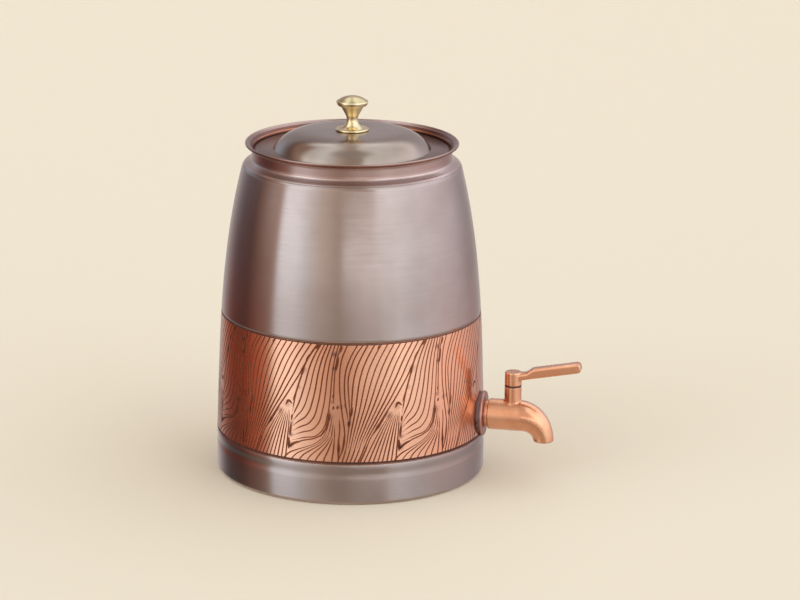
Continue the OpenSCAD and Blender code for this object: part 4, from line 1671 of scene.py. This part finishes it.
    def _mesh(self) -> Mesh:
        """Joins the etched outside, the plain inside and the laps."""
        shell = self.shell
        inner = shell.foot_h + self.joggle_h, shell.band_top - self.joggle_h
        near, borders = self._near(), self._borders()
        outside, inside = self._sheet(self.low, self.high, near, borders), self._sheet(*inner)
        points, faces, coats = [], [], []

        def put(rows: Array, corners: Array, kinds: Array) -> int:
            """Adds a part and gives the number of its first point."""
            first = sum(len(p) for p in points)
            points.append(rows)
            faces.extend((first + corners).tolist())
            coats.extend(kinds)
            return first

        for repeat in range(self.repeats):
            start = repeat * self.tile
            front, back = outside, inside
            if repeat == int(self.tap_flat // self.tile):
                clear = self._clear_of_tap(near, start)
                front = self._sheet(self.low, self.high, clear, borders, self._hole(0.0, start))
                back = self._sheet(*inner, hole=self._hole(shell.sheet, start))
            a = put(self._place(front.points, start, front.sunk * self.groove), front.faces, front.coats)
            plain = np.full(len(back.faces), self.inside_coat)
            b = put(self._place(back.points, start, shell.sheet), back.faces, plain)
            rim = list(zip(front.hole, back.hole))
            for (this, behind), (following, behind_it) in zip(rim, rim[1:] + rim[:1]):
                faces.append([a + this, a + following, b + behind_it, b + behind])
                coats.append(self.inside_coat)
        count = self.columns * self.repeats
        angles = self.angle(np.arange(count) * self.tile / self.columns)
        around = np.stack([np.cos(angles), np.sin(angles)], 1)
        for lap in self._laps(*inner):
            rows = [np.column_stack([r * around, np.full(count, z)]) for r, z in lap.points]
            quads = ring_quads(len(rows), count)
            put(np.concatenate(rows), quads, np.full(len(quads), self.inside_coat))
        mesh = new_mesh("etched_wall", np.concatenate(points), faces)
        mesh.polygons.foreach_set("material_index", coats)
        self._close(mesh)
        return mesh

    def _close(self, mesh: Mesh) -> None:
        """Joins the parts' shared points and gives the smooth wall its exact normals."""
        work = bmesh.new()
        work.from_mesh(mesh)
        bmesh.ops.remove_doubles(work, verts=work.verts, dist=0.004 * MM)
        bmesh.ops.dissolve_degenerate(work, edges=work.edges, dist=0.001 * MM)
        bmesh.ops.recalc_face_normals(work, faces=work.faces)
        work.to_mesh(mesh)
        work.free()
        corner = np.zeros(len(mesh.loops), int)
        mesh.loops.foreach_get("vertex_index", corner)
        spots = np.zeros(len(mesh.vertices) * 3)
        mesh.vertices.foreach_get("co", spots)
        spots = spots.reshape(-1, 3) / MM
        wall = spots.copy()
        wall[:, 2] = -self.shell.wall.slope(spots[:, 2]) * np.hypot(spots[:, 0], spots[:, 1])
        wall /= np.linalg.norm(wall, axis=1, keepdims=True)
        normals = np.zeros((len(corner), 3))
        for face in mesh.polygons:
            loops = list(face.loop_indices)
            flat = np.array(face.normal)
            true = wall[corner[loops]]
            lies = true @ flat
            grooved = face.material_index in (self.etch_coat, self.seam_and_shade_coat)
            smooth = (np.abs(lies) > self.smooth_cosine) & (not grooved)
            normals[loops] = np.where(smooth[:, None], np.sign(lies)[:, None] * true, flat)
        mesh.shade_smooth()
        mesh.normals_split_custom_set(normals.tolist())
        set_values(mesh, EDGE, np.zeros(len(mesh.vertices)))
        set_values(mesh, CREVICE, self._stain(spots))


@dataclass
class Lid:
    """The domed lid with its flange, its turned brass knob and the fixing below."""

    sheet: float = 1.0
    flange_w: float = 12.4
    dome_slope: float = 57.0
    edge_pull: float = 17.0
    crown_pull: float = 20.0
    pad_w: float = 0.5
    hole_r: float = 2.25
    foot_t: float = 1.5
    neck_r: float = 3.9
    neck_h: float = 7.8
    cap_r: float = 11.1
    cap_h: float = 17.0
    under_w: float = 3.1
    under_h: float = 3.2
    flare: float = 1.2
    edge_r: float = 0.8
    bore_r: float = 2.05
    bore_h: float = 11.0
    slot_w: float = 1.0
    slot_h: float = 1.1

    def __post_init__(self) -> None:
        """Takes the lid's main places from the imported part."""
        dome_low, dome_high = box_mm("lid_dome")
        knob_high = box_mm("lid_knob")[1]
        self.flange_r, self.seat_z, self.crown_z = dome_high.x, dome_low.z, dome_high.z
        self.foot_r, self.top_z = knob_high.x, knob_high.z
        self.flange_z = self.seat_z + self.sheet
        self.dome_r = self.flange_r - self.flange_w
        self.pad_r = self.foot_r + self.pad_w

    def build(self) -> None:
        """Builds the lid's four pieces."""
        # The flange takes a darker copy of the lid finish and the knob's crown a darker copy of the brass,
        # both as painted shade.
        add_piece(self._dome().turn("domed_lid"), Body.LID, (LID, INSIDE, SHADED_FLANGE), "lid_dome")
        add_piece(self._knob().turn("turned_knob", 128), Body.LID, (BRASS, SHADED_CAP), "lid_knob")
        washer = flat_ring("knob_washer", "knob_washer_round", Axis.Z, self.hole_r, 0.2)
        add_piece(washer, Body.LID, (STEEL,), "knob_washer")
        add_piece(self._screw(), Body.LID, (STEEL,), "knob_screw")

    def _surface(self, shape: Outline, sink: float, backwards: bool) -> None:
        """Adds the dome's curve to an outline, from the flange to the knob's pad or back.

        Args:
            shape: The outline.
            sink: How far below the lid's outside the curve lies.
            backwards: Whether it goes from the pad to the flange.
        """
        inwards, up = polar(self.edge_pull, self.dome_slope)
        edge = (self.dome_r, self.flange_z - sink)
        crown = (self.pad_r, self.crown_z - sink)
        corners = (edge, (edge[0] - inwards, edge[1] + up), (crown[0] + self.crown_pull, crown[1]), crown)
        shape.cubic(*corners[::-1] if backwards else corners)

    def _dome(self) -> Outline:
        """Draws the domed sheet with its flat flange."""
        # Painted shade: the flange's edge and top take the darker flange finish.
        shape = Outline(coat=2).to((self.flange_r, self.seat_z), (self.flange_r, self.flange_z))
        self._surface(shape.painted(0), 0.0, False)
        shape.to((self.hole_r, self.crown_z))
        shape.painted(1).to((self.hole_r, self.crown_z - self.sheet))
        under = Outline()
        self._surface(under, self.sheet, True)
        shape.to(*under.points[:-1])
        shape.to((self.dome_r - self.sheet, self.seat_z))
        return shape.softened(0.3)

    def _knob(self) -> Outline:
        """Draws the turned knob with its screw bore."""
        neck_z = self.crown_z + self.neck_h
        cap_z = self.crown_z + self.cap_h
        edge_z = cap_z + self.under_h
        cone_r = self.cap_r - self.under_w
        half_foot = self.foot_t / 2
        low = (self.foot_r - half_foot - self.neck_r, neck_z - self.crown_z - self.foot_t)
        high = (cone_r - self.neck_r, cap_z - neck_z)
        low_r = (low[0] ** 2 + low[1] ** 2) / (2 * low[0])
        low_turn = math.degrees(math.atan2(low[1], low_r - low[0]))
        high_turn = self.flare * math.atan2(high[0], high[1])
        high_r = (high[1] - high[0] / math.tan(high_turn)) / math.tan(high_turn / 2)
        crown_h = self.top_z - edge_z - self.edge_r
        crown_w = self.cap_r - self.edge_r
        crown_r = (crown_w**2 + crown_h**2) / (2 * crown_h)
        crown_turn = math.degrees(math.asin((crown_r - crown_h) / crown_r))
        bore_z = self.crown_z + self.bore_h
        shape = Outline().to((0, bore_z), (self.bore_r, bore_z), (self.bore_r, self.crown_z))
        shape.arc((self.foot_r - half_foot, self.crown_z + half_foot), half_foot, -90, 90)
        shape.arc((self.neck_r + low_r, neck_z), low_r, 180 + low_turn, 180, 24)
        shape.arc((self.neck_r + high_r, neck_z), high_r, 180, 180 - math.degrees(high_turn), 24)
        shape.arc((cone_r, edge_z), (self.under_w, self.under_h), -90, 0, 16)
        shape.arc((crown_w, edge_z), self.edge_r, 0, 90)
        # Painted shade: the crown takes the darker brass.
        shape.painted(1).arc((0, self.top_z - crown_r), crown_r, crown_turn, 90, 24)
        return shape.softened(0.2)

    def _screw(self) -> Mesh:
        """Shapes the slotted screw that holds the knob."""
        low, high = box_mm("knob_screw")
        head_top = box_mm("knob_washer")[0].z
        head = RoundBar(Axis.Z, (0, 0), high.x, low.z, head_top, 0.6)
        shank = RoundBar(Axis.Z, (0, 0), self.bore_r - CLEAR, head_top - 1.0, high.z, 0.3)

        def distance(p: Array) -> Array:
            """Joins head and shank and cuts the slot."""
            slot = np.maximum(np.abs(p[..., 0]) - self.slot_w / 2, p[..., 2] - low.z - self.slot_h)
            return np.maximum(np.minimum(head(p), shank(p)), -slot)

        return Casting(distance, low, high, 0.25).mesh("knob_screw_slotted")


@dataclass
class Tap:
    """The cast tap with its flange plate, seals and lock nut."""

    neck_r: float = 9.6
    neck_l: float = 2.7
    barrel_round: float = 0.8
    tower_r: float = 6.0
    tower_round: float = 0.35
    collar_lap: float = 2.0
    spout_r: float = 7.2
    shank_r: float = 8.0
    thread_pitch: float = 1.8
    thread_depth: float = 0.5
    inlet_r: float = 5.0
    port_r: float = 2.8
    outlet_r: float = 5.0
    outlet_l: float = 5.0
    bore_r: float = 4.2
    chamber_d: float = 6.5
    valve_wall: float = 2.0
    cut_round: float = 0.35
    fillet: float = 1.3
    lip_round: float = 1.2
    plate_round: float = 1.0
    nut_flats: float = 19.5
    screw_r: float = 1.5

    def __post_init__(self) -> None:
        """Takes the tap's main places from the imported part."""
        self.low, self.high = box_mm("tap_body")
        plate_low, plate_high = box_mm("tap_escutcheon")
        self.plate_x, self.neck_x = plate_low.x, plate_high.x
        self.plate_r = plate_high.y
        self.tap_z = middle_mm("tap_escutcheon").z
        self.barrel_r = self.high.y
        self.barrel_x = self.neck_x + self.neck_l
        self.tower_x, self.tower_z = lever_axis_x(), self.high.z
        self.bend_z = self.low.z
        self.bend_r = self.tap_z - self.bend_z
        self.outlet_x = self.high.x - self.spout_r
        self.bend_x = self.outlet_x - self.bend_r
        self.stop_z = middle_mm("stop_screw").z

    def build(self) -> None:
        """Builds the tap's pieces and dresses its seals."""
        reach = (self.high.x, self.barrel_r, self.tower_z)
        start = (self.low.x, -self.barrel_r, self.bend_z)
        body = Casting(self._body, start, reach, 0.4).mesh("cast_tap")
        add_piece(body, Body.POT, (SATIN,), "tap_body")
        add_piece(self._plate(), Body.POT, (PLATE,), "tap_escutcheon")
        washer = flat_ring("inner_washer", "inner_washer_round", Axis.X, self.shank_r + CLEAR, 0.25)
        add_piece(washer, Body.POT, (STEEL,), "inner_washer")
        add_piece(self._nut(), Body.POT, (BRASS,), "lock_nut")
        screw = grub_screw("stop_screw", "stop_screw_keyed")
        add_piece(screw, Body.POT, (STEEL,), "stop_screw")
        dress_node("outer_gasket", SEAL)
        dress_node("inner_gasket", RUBBER)

    def _spout(self, p: Array) -> Array:
        """Gives distances to the barrel and its tapered bend, before the outlet is cut."""
        along, up = p[..., 0] - self.bend_x, p[..., 2] - self.bend_z
        turn = np.degrees(np.arctan2(up, along))
        section = self.spout_r + (self.barrel_r - self.spout_r) * eased(turn / 90)
        bent = np.hypot(np.hypot(along, up) - self.bend_r, p[..., 1]) - section
        straight = np.hypot(p[..., 2] - self.tap_z, p[..., 1]) - self.barrel_r
        return np.where(along < 0, straight, bent)

    def _body(self, p: Array) -> Array:
        """Gives distances to the whole casting with its passages."""
        axis = (0.0, self.tap_z)
        barrel = smooth_cut(self._spout(p), p[..., 0] - self.barrel_x, self.barrel_round)
        barrel = smooth_cut(barrel, p[..., 2] - self.bend_z, self.lip_round)
        upright = (self.tower_x, 0.0)
        stop = (self.tower_x, self.stop_z)
        tower = RoundBar(Axis.Z, upright, self.tower_r, self.tap_z, self.tower_z, self.tower_round)
        casting = smooth_union(barrel, tower(p), self.fillet)
        collar = RoundBar(Axis.X, axis, self.neck_r, self.neck_x, self.barrel_x + self.collar_lap, 0.3)
        turn = np.arctan2(p[..., 2] - self.tap_z, p[..., 1])
        wave = np.cos(2 * math.pi * p[..., 0] / self.thread_pitch - turn)
        threaded = np.where(p[..., 0] < self.plate_x - 1.0, (wave - 1.0) * self.thread_depth / 2, 0.0)
        shank = RoundBar(Axis.X, axis, self.shank_r, self.low.x, self.neck_x + 1.0, 0.5)
        casting = np.minimum(casting, np.minimum(collar(p), shank(p) - threaded))
        valve_x = self.tower_x - self.bore_r - self.valve_wall
        along, up = p[..., 0] - self.bend_x, p[..., 2] - self.bend_z
        bend = np.hypot(np.hypot(along, up) - self.bend_r, p[..., 1]) - self.port_r
        bend = np.where((along > 0) & (up > 0), bend, self.barrel_r)
        outlet = (self.outlet_x, 0.0)
        outlet_top = self.bend_z + self.outlet_l
        cuts = (
            RoundBar(Axis.X, axis, self.inlet_r, self.low.x - PAST, valve_x, 0.4)(p),
            RoundBar(Axis.X, axis, self.port_r, valve_x - 1.0, self.bend_x)(p),
            RoundBar(Axis.Z, upright, self.bore_r, self.tap_z - self.chamber_d, self.tower_z + PAST)(p),
            RoundBar(Axis.Z, outlet, self.outlet_r, self.bend_z - PAST, outlet_top, 0.6)(p),
            RoundBar(Axis.Y, stop, self.screw_r, self.bore_r, self.tower_r + PAST)(p),
            bend,
        )
        for cut in cuts:
            casting = smooth_cut(casting, cut, self.cut_round)
        return casting

    def _plate(self) -> Mesh:
        """Turns the flange plate with its rounded outer edge."""
        bore = self.shank_r + CLEAR
        thick = self.neck_x - self.plate_x
        shape = Outline().to((bore, 0), (self.plate_r, 0))
        shape.arc((self.plate_r - self.plate_round, thick - self.plate_round), self.plate_round, 0, 90, 16)
        shape.to((bore, thick))
        return shape.softened(0.15).turn("tap_flange_plate", 160, Axis.X, (self.plate_x, 0, self.tap_z))

    def _nut(self) -> Mesh:
        """Shapes the hexagon lock nut with its chamfers and bore."""
        low, high = box_mm("lock_nut")
        corner_r = self.nut_flats / 2 / math.cos(math.radians(30))
        bore = RoundBar(Axis.X, (0.0, self.tap_z), self.shank_r + 2 * CLEAR, low.x - PAST, high.x + PAST)

        def distance(p: Array) -> Array:
            """Cuts a hexagon bar to length and bevels its corners."""
            y, z = p[..., 1], p[..., 2] - self.tap_z
            ends = np.abs(p[..., 0] - (low.x + high.x) / 2) - (high.x - low.x) / 2
            bar = smooth_cut(hexagon(y, z, self.nut_flats), -ends, 0.3)
            bevel = (np.hypot(y, z) - corner_r + 1.0 + (ends + 1.0) * 1.7) * 0.5
            return smooth_cut(smooth_cut(bar, -bevel, 0.2), bore(p), 0.5)

        return Casting(distance, low, high, 0.35).mesh("lock_nut_chamfered")


def grub_screw(node: str, name: str, key: float = 1.5, key_d: float = 1.2, sunk: float = 0.12) -> Mesh:
    """Shapes a small headless screw with a hexagon socket, along +Y.

    Args:
        node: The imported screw.
        name: Name of the mesh.
        key: Width of the hexagon socket across its flats.
        key_d: Depth of the socket from the box's end.
        sunk: How far below the box's end the screw stops.

    Returns:
        The mesh.
    """
    low, high = box_mm(node)
    middle = middle_mm(node)
    bar = RoundBar(Axis.Y, (middle.x, middle.z), (high.x - low.x) / 2, low.y, high.y - sunk, 0.2)

    def distance(p: Array) -> Array:
        """Cuts the socket into the screw's outer end."""
        x, z = p[..., 0] - middle.x, p[..., 2] - middle.z
        socket = np.maximum(hexagon(x, z, key), high.y - key_d - p[..., 1])
        return smooth_cut(bar(p), socket, 0.1)

    return Casting(distance, low, high, 0.12).mesh(name)


@dataclass
class Lever:
    """The quarter-turn lever with its hub and what turns with it."""

    hub_h: float = 9.8
    hub_r: float = 6.0
    hub_round: float = 0.9
    rise: float = 11.0
    neck_z: float = 2.8
    neck_t: float = 5.6
    ramp_start: float = 9.5
    ramp_end: float = 16.5
    length: float = 49.6
    grip_t: float = 8.0
    grip_w: float = 8.4
    grip_round: float = 2.4
    end_round: float = 3.2
    arm_round: float = 1.2
    arm_fillet: float = 0.9
    stem_r: float = 3.4
    stem_l: float = 7.2
    screw_r: float = 1.5

    def __post_init__(self) -> None:
        """Takes the lever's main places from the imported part."""
        self.low, self.high = box_mm("tap_lever")
        self.axis_x = lever_axis_x()
        self.hub_z = self.low.z
        self.screw_z = middle_mm("lever_screw").z

    def build(self) -> None:
        """Builds the lever's pieces and dresses what is hidden inside."""
        lever = Casting(self._lever, self.low, self.high, 0.35).mesh("cast_lever")
        add_piece(lever, Body.LEVER, (SATIN,), "tap_lever")
        ring = flat_ring("friction_washer", "hub_ring", Axis.Z, self.stem_r - 2 * CLEAR, 0.2)
        add_piece(ring, Body.LEVER, (RING,), "friction_washer")
        screw = grub_screw("lever_screw", "lever_screw_keyed")
        add_piece(screw, Body.LEVER, (STEEL,), "lever_screw")
        dress_node("valve_spindle", BRASS)
        dress_node("spindle_o_rings", RUBBER)

    def _arm(self, p: Array) -> Array:
        """Gives distances to the arm with its ramp and rounded edges."""
        lean = math.radians(self.rise)
        x, z = p[..., 0] - self.axis_x, p[..., 2] - self.hub_z - self.neck_z
        along = x * math.cos(lean) + z * math.sin(lean)
        up = z * math.cos(lean) - x * math.sin(lean)
        ramp = eased((along - self.ramp_start) / (self.ramp_end - self.ramp_start))
        thick = self.neck_t + (self.grip_t - self.neck_t) * ramp
        height = np.abs(up - thick / 2) - thick / 2
        width = np.abs(p[..., 1]) - self.grip_w / 2
        length = np.maximum(along - self.length, -along)
        cross = rounded_corner(height, width, self.grip_round)
        side = rounded_corner(height, length, self.end_round)
        return smooth_cut(side, -cross, self.arm_round)

    def _lever(self, p: Array) -> Array:
        """Gives distances to hub and arm with the hub's bores."""
        axis = (self.axis_x, 0.0)
        hub = RoundBar(Axis.Z, axis, self.hub_r, self.hub_z, self.hub_z + self.hub_h, self.hub_round)
        solid = smooth_union(hub(p), self._arm(p), self.arm_fillet)
        stem = RoundBar(Axis.Z, axis, self.stem_r, self.hub_z - PAST, self.hub_z + self.stem_l)
        hole = RoundBar(Axis.Y, (self.axis_x, self.screw_z), self.screw_r + CLEAR, 0.0, self.hub_r + PAST)
        return smooth_cut(smooth_cut(solid, stem(p), 0.2), hole(p), 0.2)


# Bounds of a window that is open from the first height or bearing on, and of one that never closes.
FIRST: Point = (-901.0, -900.0)
NEVER: Point = (900.0, 901.0)
# Heights in the light tent that the etched wall mirrors.
COURSE: Window = (-0.31, -0.26, -0.22, -0.16)


@dataclass(frozen=True)
class Patch:
    """A tinted patch of the light tent, at bearings from the camera or from the bright panel's edge."""

    tint: Colour
    heights: Window
    bearings: Window = (*FIRST, *NEVER)
    from_edge: bool = False


@dataclass
class Studio:
    """Camera, floor, backdrop and the soft light tent round the pot."""

    azimuth: float = 12.0
    elevation: float = 15.53
    distance: float = 2.236
    aim_z: float = 0.12
    roll: float = 0.3
    focal_px: float = 3161.0
    axis_px: float = 351.3
    picture_w: int = 800
    sensor: float = 36.0
    cream: Colour = (0.845, 0.742, 0.59, 1.0)
    floor_r: float = 6.0
    sweep_r: float = 1.2
    wall_h: float = 2.4
    sweep_sides: int = 96
    sweep_drop: float = 0.0004
    panels: tuple[tuple[float, ...], ...] = (
        (-180.0, 0.53, 0.49, 0.51), (-172.0, 0.42, 0.385, 0.4), (-150.0, 0.4, 0.36, 0.38),
        (-122.0, 0.25, 0.17, 0.16), (-106.0, 0.22, 0.125, 0.1), (-98.0, 0.37, 0.2, 0.145),
        (-80.0, 0.64, 0.43, 0.34), (-74.0, 0.74, 0.54, 0.45), (-69.0, 1.78, 2.02, 2.16),
        (-52.0, 1.76, 1.96, 2.08), (-42.0, 1.36, 1.47, 1.53), (-30.0, 1.14, 1.08, 1.0),
        (-15.0, 0.86, 0.76, 0.68), (-8.0, 0.76, 0.68, 0.61), (4.0, 1.78, 1.9, 1.94),
        (40.0, 1.7, 1.86, 1.94), (62.0, 1.46, 1.57, 1.65), (90.0, 1.36, 1.4, 1.49),
        (112.0, 1.16, 1.18, 1.26), (130.0, 0.86, 0.85, 0.92), (155.0, 0.56, 0.53, 0.56),
        (172.0, 0.46, 0.42, 0.44), (180.0, 0.53, 0.49, 0.51),
    )
    edge_dark: float = -10.0
    edge_light: float = 6.0
    edge_soft: float = 3.5
    edge_drop: Window = (-0.1, 0.05, 37.0, -13.0)
    edge_climb: Window = (0.1, 0.22, 0.0, 36.0)
    edge_sway: Window = (0.3, 0.7, -5.0, 5.0)
    sway_scale: float = 7.0
    edge_back: float = 34.0
    dome_heights: Point = (0.35, 0.7)
    dome_lean: Point = (0.4, 0.3)
    dome_least: float = 0.1
    lift_low: Window = (-0.35, 0.25, 0.6, 1.0)
    lift_high: Window = (0.6, 0.85, 1.06, 0.8)
    left_side: Window = (-165.0, -140.0, -86.0, -72.0)
    left_low: Colour = (0.92, 1.0, 1.12, 1.0)
    left_tints: tuple[tuple[Window, Colour], ...] = (
        ((-0.1, 0.2, *NEVER), (1.34, 1.86, 2.2, 1.0)),
        ((0.25, 0.45, *NEVER), (0.95, 1.1, 1.2, 1.0)),
        ((*FIRST, -0.34, -0.28), (0.63, 0.95, 1.06, 1.0)),
        (COURSE, (1.27, 0.31, 0.1, 1.0)),
    )
    patches: tuple[Patch, ...] = (
        Patch((1.1, 1.14, 1.18, 1.0), (0.1, 0.3, 0.45, 0.6), (10.0, 50.0, 115.0, 150.0)),
        Patch((1.12, 0.82, 0.72, 1.0), COURSE, (55.0, 85.0, *NEVER)),
        Patch((1.24, 1.26, 1.27, 1.0), (0.01, 0.06, 0.12, 0.18), (0.0, 5.0, 26.0, 44.0), True),
        Patch((0.74, 0.7, 0.68, 1.0), (0.55, 0.75, *NEVER), (*FIRST, -68.0, -52.0)),
        Patch((0.74, 0.7, 0.68, 1.0), (0.55, 0.75, *NEVER), (72.0, 82.0, *NEVER)),
        Patch((0.88, 0.88, 0.88, 1.0), (*FIRST, -0.36, -0.28)),
        Patch((1.1, 1.1, 1.1, 1.0), COURSE),
    )
    behind: Point = (128.0, 168.0)
    low_back: Patch = Patch((0.62, 0.57, 0.55, 1.0), (*FIRST, 0.0, 0.1))
    overhead: Patch = Patch((0.56, 0.53, 0.51, 1.0), (0.93, 1.0, *NEVER))
    below: Patch = Patch((0.66, 0.56, 0.46, 1.0), (*FIRST, -0.7, -0.35))

    def build(self) -> None:
        """Sets up the studio."""
        self._camera()
        self._stage()
        self._tent()
        bpy.context.scene.view_settings.view_transform = "Standard"

    def _camera(self) -> None:
        """Places the camera as the photograph shows the pot."""
        data = bpy.data.cameras.new("camera")
        camera = bpy.data.objects.new("camera", data)
        bpy.context.scene.collection.objects.link(camera)
        away, rise = polar(self.distance, self.elevation)
        camera.location = (*polar(away, self.azimuth - 90.0), self.aim_z + rise)
        aim = Vector((0.0, 0.0, self.aim_z)) - camera.location
        turned = aim.to_track_quat("-Z", "Y") @ Quaternion((0.0, 0.0, 1.0), math.radians(self.roll))
        camera.rotation_euler = turned.to_euler()
        data.sensor_width = self.sensor
        data.lens = self.focal_px / self.picture_w * self.sensor
        data.shift_x = (self.picture_w / 2 - self.axis_px) / self.picture_w
        bpy.context.scene.camera = camera

    def _stage(self) -> None:
        """Builds the floor and the backdrop as one pale sweep."""
        shape = Outline().to((0.0, 0.0), (self.floor_r, 0.0))
        shape.arc((self.floor_r, self.sweep_r), self.sweep_r, -90, 0, 16)
        shape.to((self.floor_r + self.sweep_r, self.wall_h))
        sides = self.sweep_sides
        points = []
        for radius, height in shape.points:
            level = height - self.sweep_drop
            points.extend((*polar(radius, 360 * side / sides), level) for side in range(sides))
        faces = ring_quads(len(shape.points), sides)[:, ::-1]
        mesh = new_mesh("studio_sweep", np.array(points) / MM, faces.tolist())
        made = bpy.data.materials.new("pale_sweep")
        made.use_nodes = True
        shader = made.node_tree.nodes["Principled BSDF"]
        shader.inputs["Base Color"].default_value = self.cream
        shader.inputs["Roughness"].default_value = 0.9
        shader.inputs["Specular IOR Level"].default_value = 0.1
        mesh.materials.append(made)
        sweep = bpy.data.objects.new("studio_sweep", mesh)
        bpy.context.scene.collection.objects.link(sweep)
        sweep.visible_glossy = False

    def _tent(self) -> None:
        """Paints the light tent in the world, by bearing from the camera and by height."""
        world = bpy.data.worlds.new("light_tent")
        world.use_nodes = True
        wires = Wires(world.node_tree)
        turn = wires.add("VectorRotate", rotation_type="Z_AXIS")
        turn.inputs["Angle"].default_value = math.radians(90.0 - self.azimuth)
        wires.feed(turn.inputs["Vector"], wires.add("TexCoord").outputs["Generated"])
        split = wires.add("SeparateXYZ")
        wires.feed(split.inputs[0], turn.outputs[0])
        front, right, up = split.outputs
        lean, least = self.dome_lean
        high = wires.math("MAXIMUM", wires.plus(wires.times(front, lean), least), self.dome_least)
        over = wires.math("SUBTRACT", wires.math("MAXIMUM", front, high), front)
        ahead = wires.plus(front, wires.times(wires.span(up, *self.dome_heights), over))
        bearing = wires.math("DEGREES", wires.math("ARCTAN2", right, ahead))
        edge = wires.span(wires.noise(turn.outputs[0], self.sway_scale, 1.0), *self.edge_sway)
        edge = wires.plus(edge, wires.span(up, *self.edge_drop))
        edge = wires.plus(edge, wires.span(up, *self.edge_climb))
        back = wires.times(wires.window(up, COURSE), self.edge_back)
        past = wires.math("SUBTRACT", bearing, wires.math("SUBTRACT", edge, back))
        colour = self._tinted(wires, self._panelled(wires, bearing, past), up, bearing, past)
        wires.feed(world.node_tree.nodes["Background"].inputs["Color"], colour)
        bpy.context.scene.world = world

    def _panelled(self, wires: Wires, bearing: Socket, past: Socket) -> Socket:
        """Paints the panels, with a crisp edge to the bright one.

        Args:
            wires: The world's tree.
            bearing: Bearing from the camera.
            past: Bearing from the bright panel's edge.

        Returns:
            The panels' colour.
        """
        dark_side = wires.math("MINIMUM", bearing, self.edge_dark)
        light_side = wires.math("MAXIMUM", bearing, self.edge_light)
        light = wires.span(past, -self.edge_soft, self.edge_soft)
        seen = wires.plus(dark_side, wires.times(light, wires.math("SUBTRACT", light_side, dark_side)))
        ramp = wires.add("ValToRGB")
        wires.feed(ramp.inputs[0], wires.plus(wires.math("DIVIDE", seen, 360.0), 0.5))
        stops = ramp.color_ramp.elements
        for _ in range(len(self.panels) - len(stops)):
            stops.new(0.5)
        for stop, (degrees, *colour) in zip(stops, self.panels):
            stop.position = degrees / 360.0 + 0.5
            stop.color = (*colour, 1.0)
        return ramp.outputs[0]

    def _tinted(self, wires: Wires, colour: Socket, up: Socket, bearing: Socket, past: Socket) -> Socket:
        """Tints the panels patch by patch.

        Args:
            wires: The world's tree.
            colour: The panels' colour.
            up: Height in the tent.
            bearing: Bearing from the camera.
            past: Bearing from the bright panel's edge.

        Returns:
            The tent's colour.
        """
        lift = wires.times(wires.span(up, *self.lift_low), wires.span(up, *self.lift_high))
        colour = wires.mix(1.0, colour, lift, "MULTIPLY")
        left = self.left_low
        for heights, tint in self.left_tints:
            left = wires.mix(wires.window(up, heights), left, tint)
        colour = wires.mix(wires.window(bearing, self.left_side), colour, left, "MULTIPLY")
        for patch in self.patches:
            side = wires.window(past if patch.from_edge else bearing, patch.bearings)
            share = wires.times(wires.window(up, patch.heights), side)
            colour = wires.mix(share, colour, patch.tint, "MULTIPLY")
        behind = wires.span(wires.math("ABSOLUTE", bearing), *self.behind)
        for patch, side in ((self.low_back, behind), (self.overhead, 1.0), (self.below, 1.0)):
            colour = wires.mix(wires.times(wires.window(up, patch.heights), side), colour, patch.tint)
        return colour


def main() -> None:
    """Builds the studio and every sub-assembly."""
    logging.basicConfig(level=logging.INFO, format="%(name)s: %(message)s")
    Studio().build()
    shell = PotShell()
    shell.build()
    EtchedWall(shell).build()
    Lid().build()
    Tap().build()
    Lever().build()


if __name__ == "__main__":
    main()
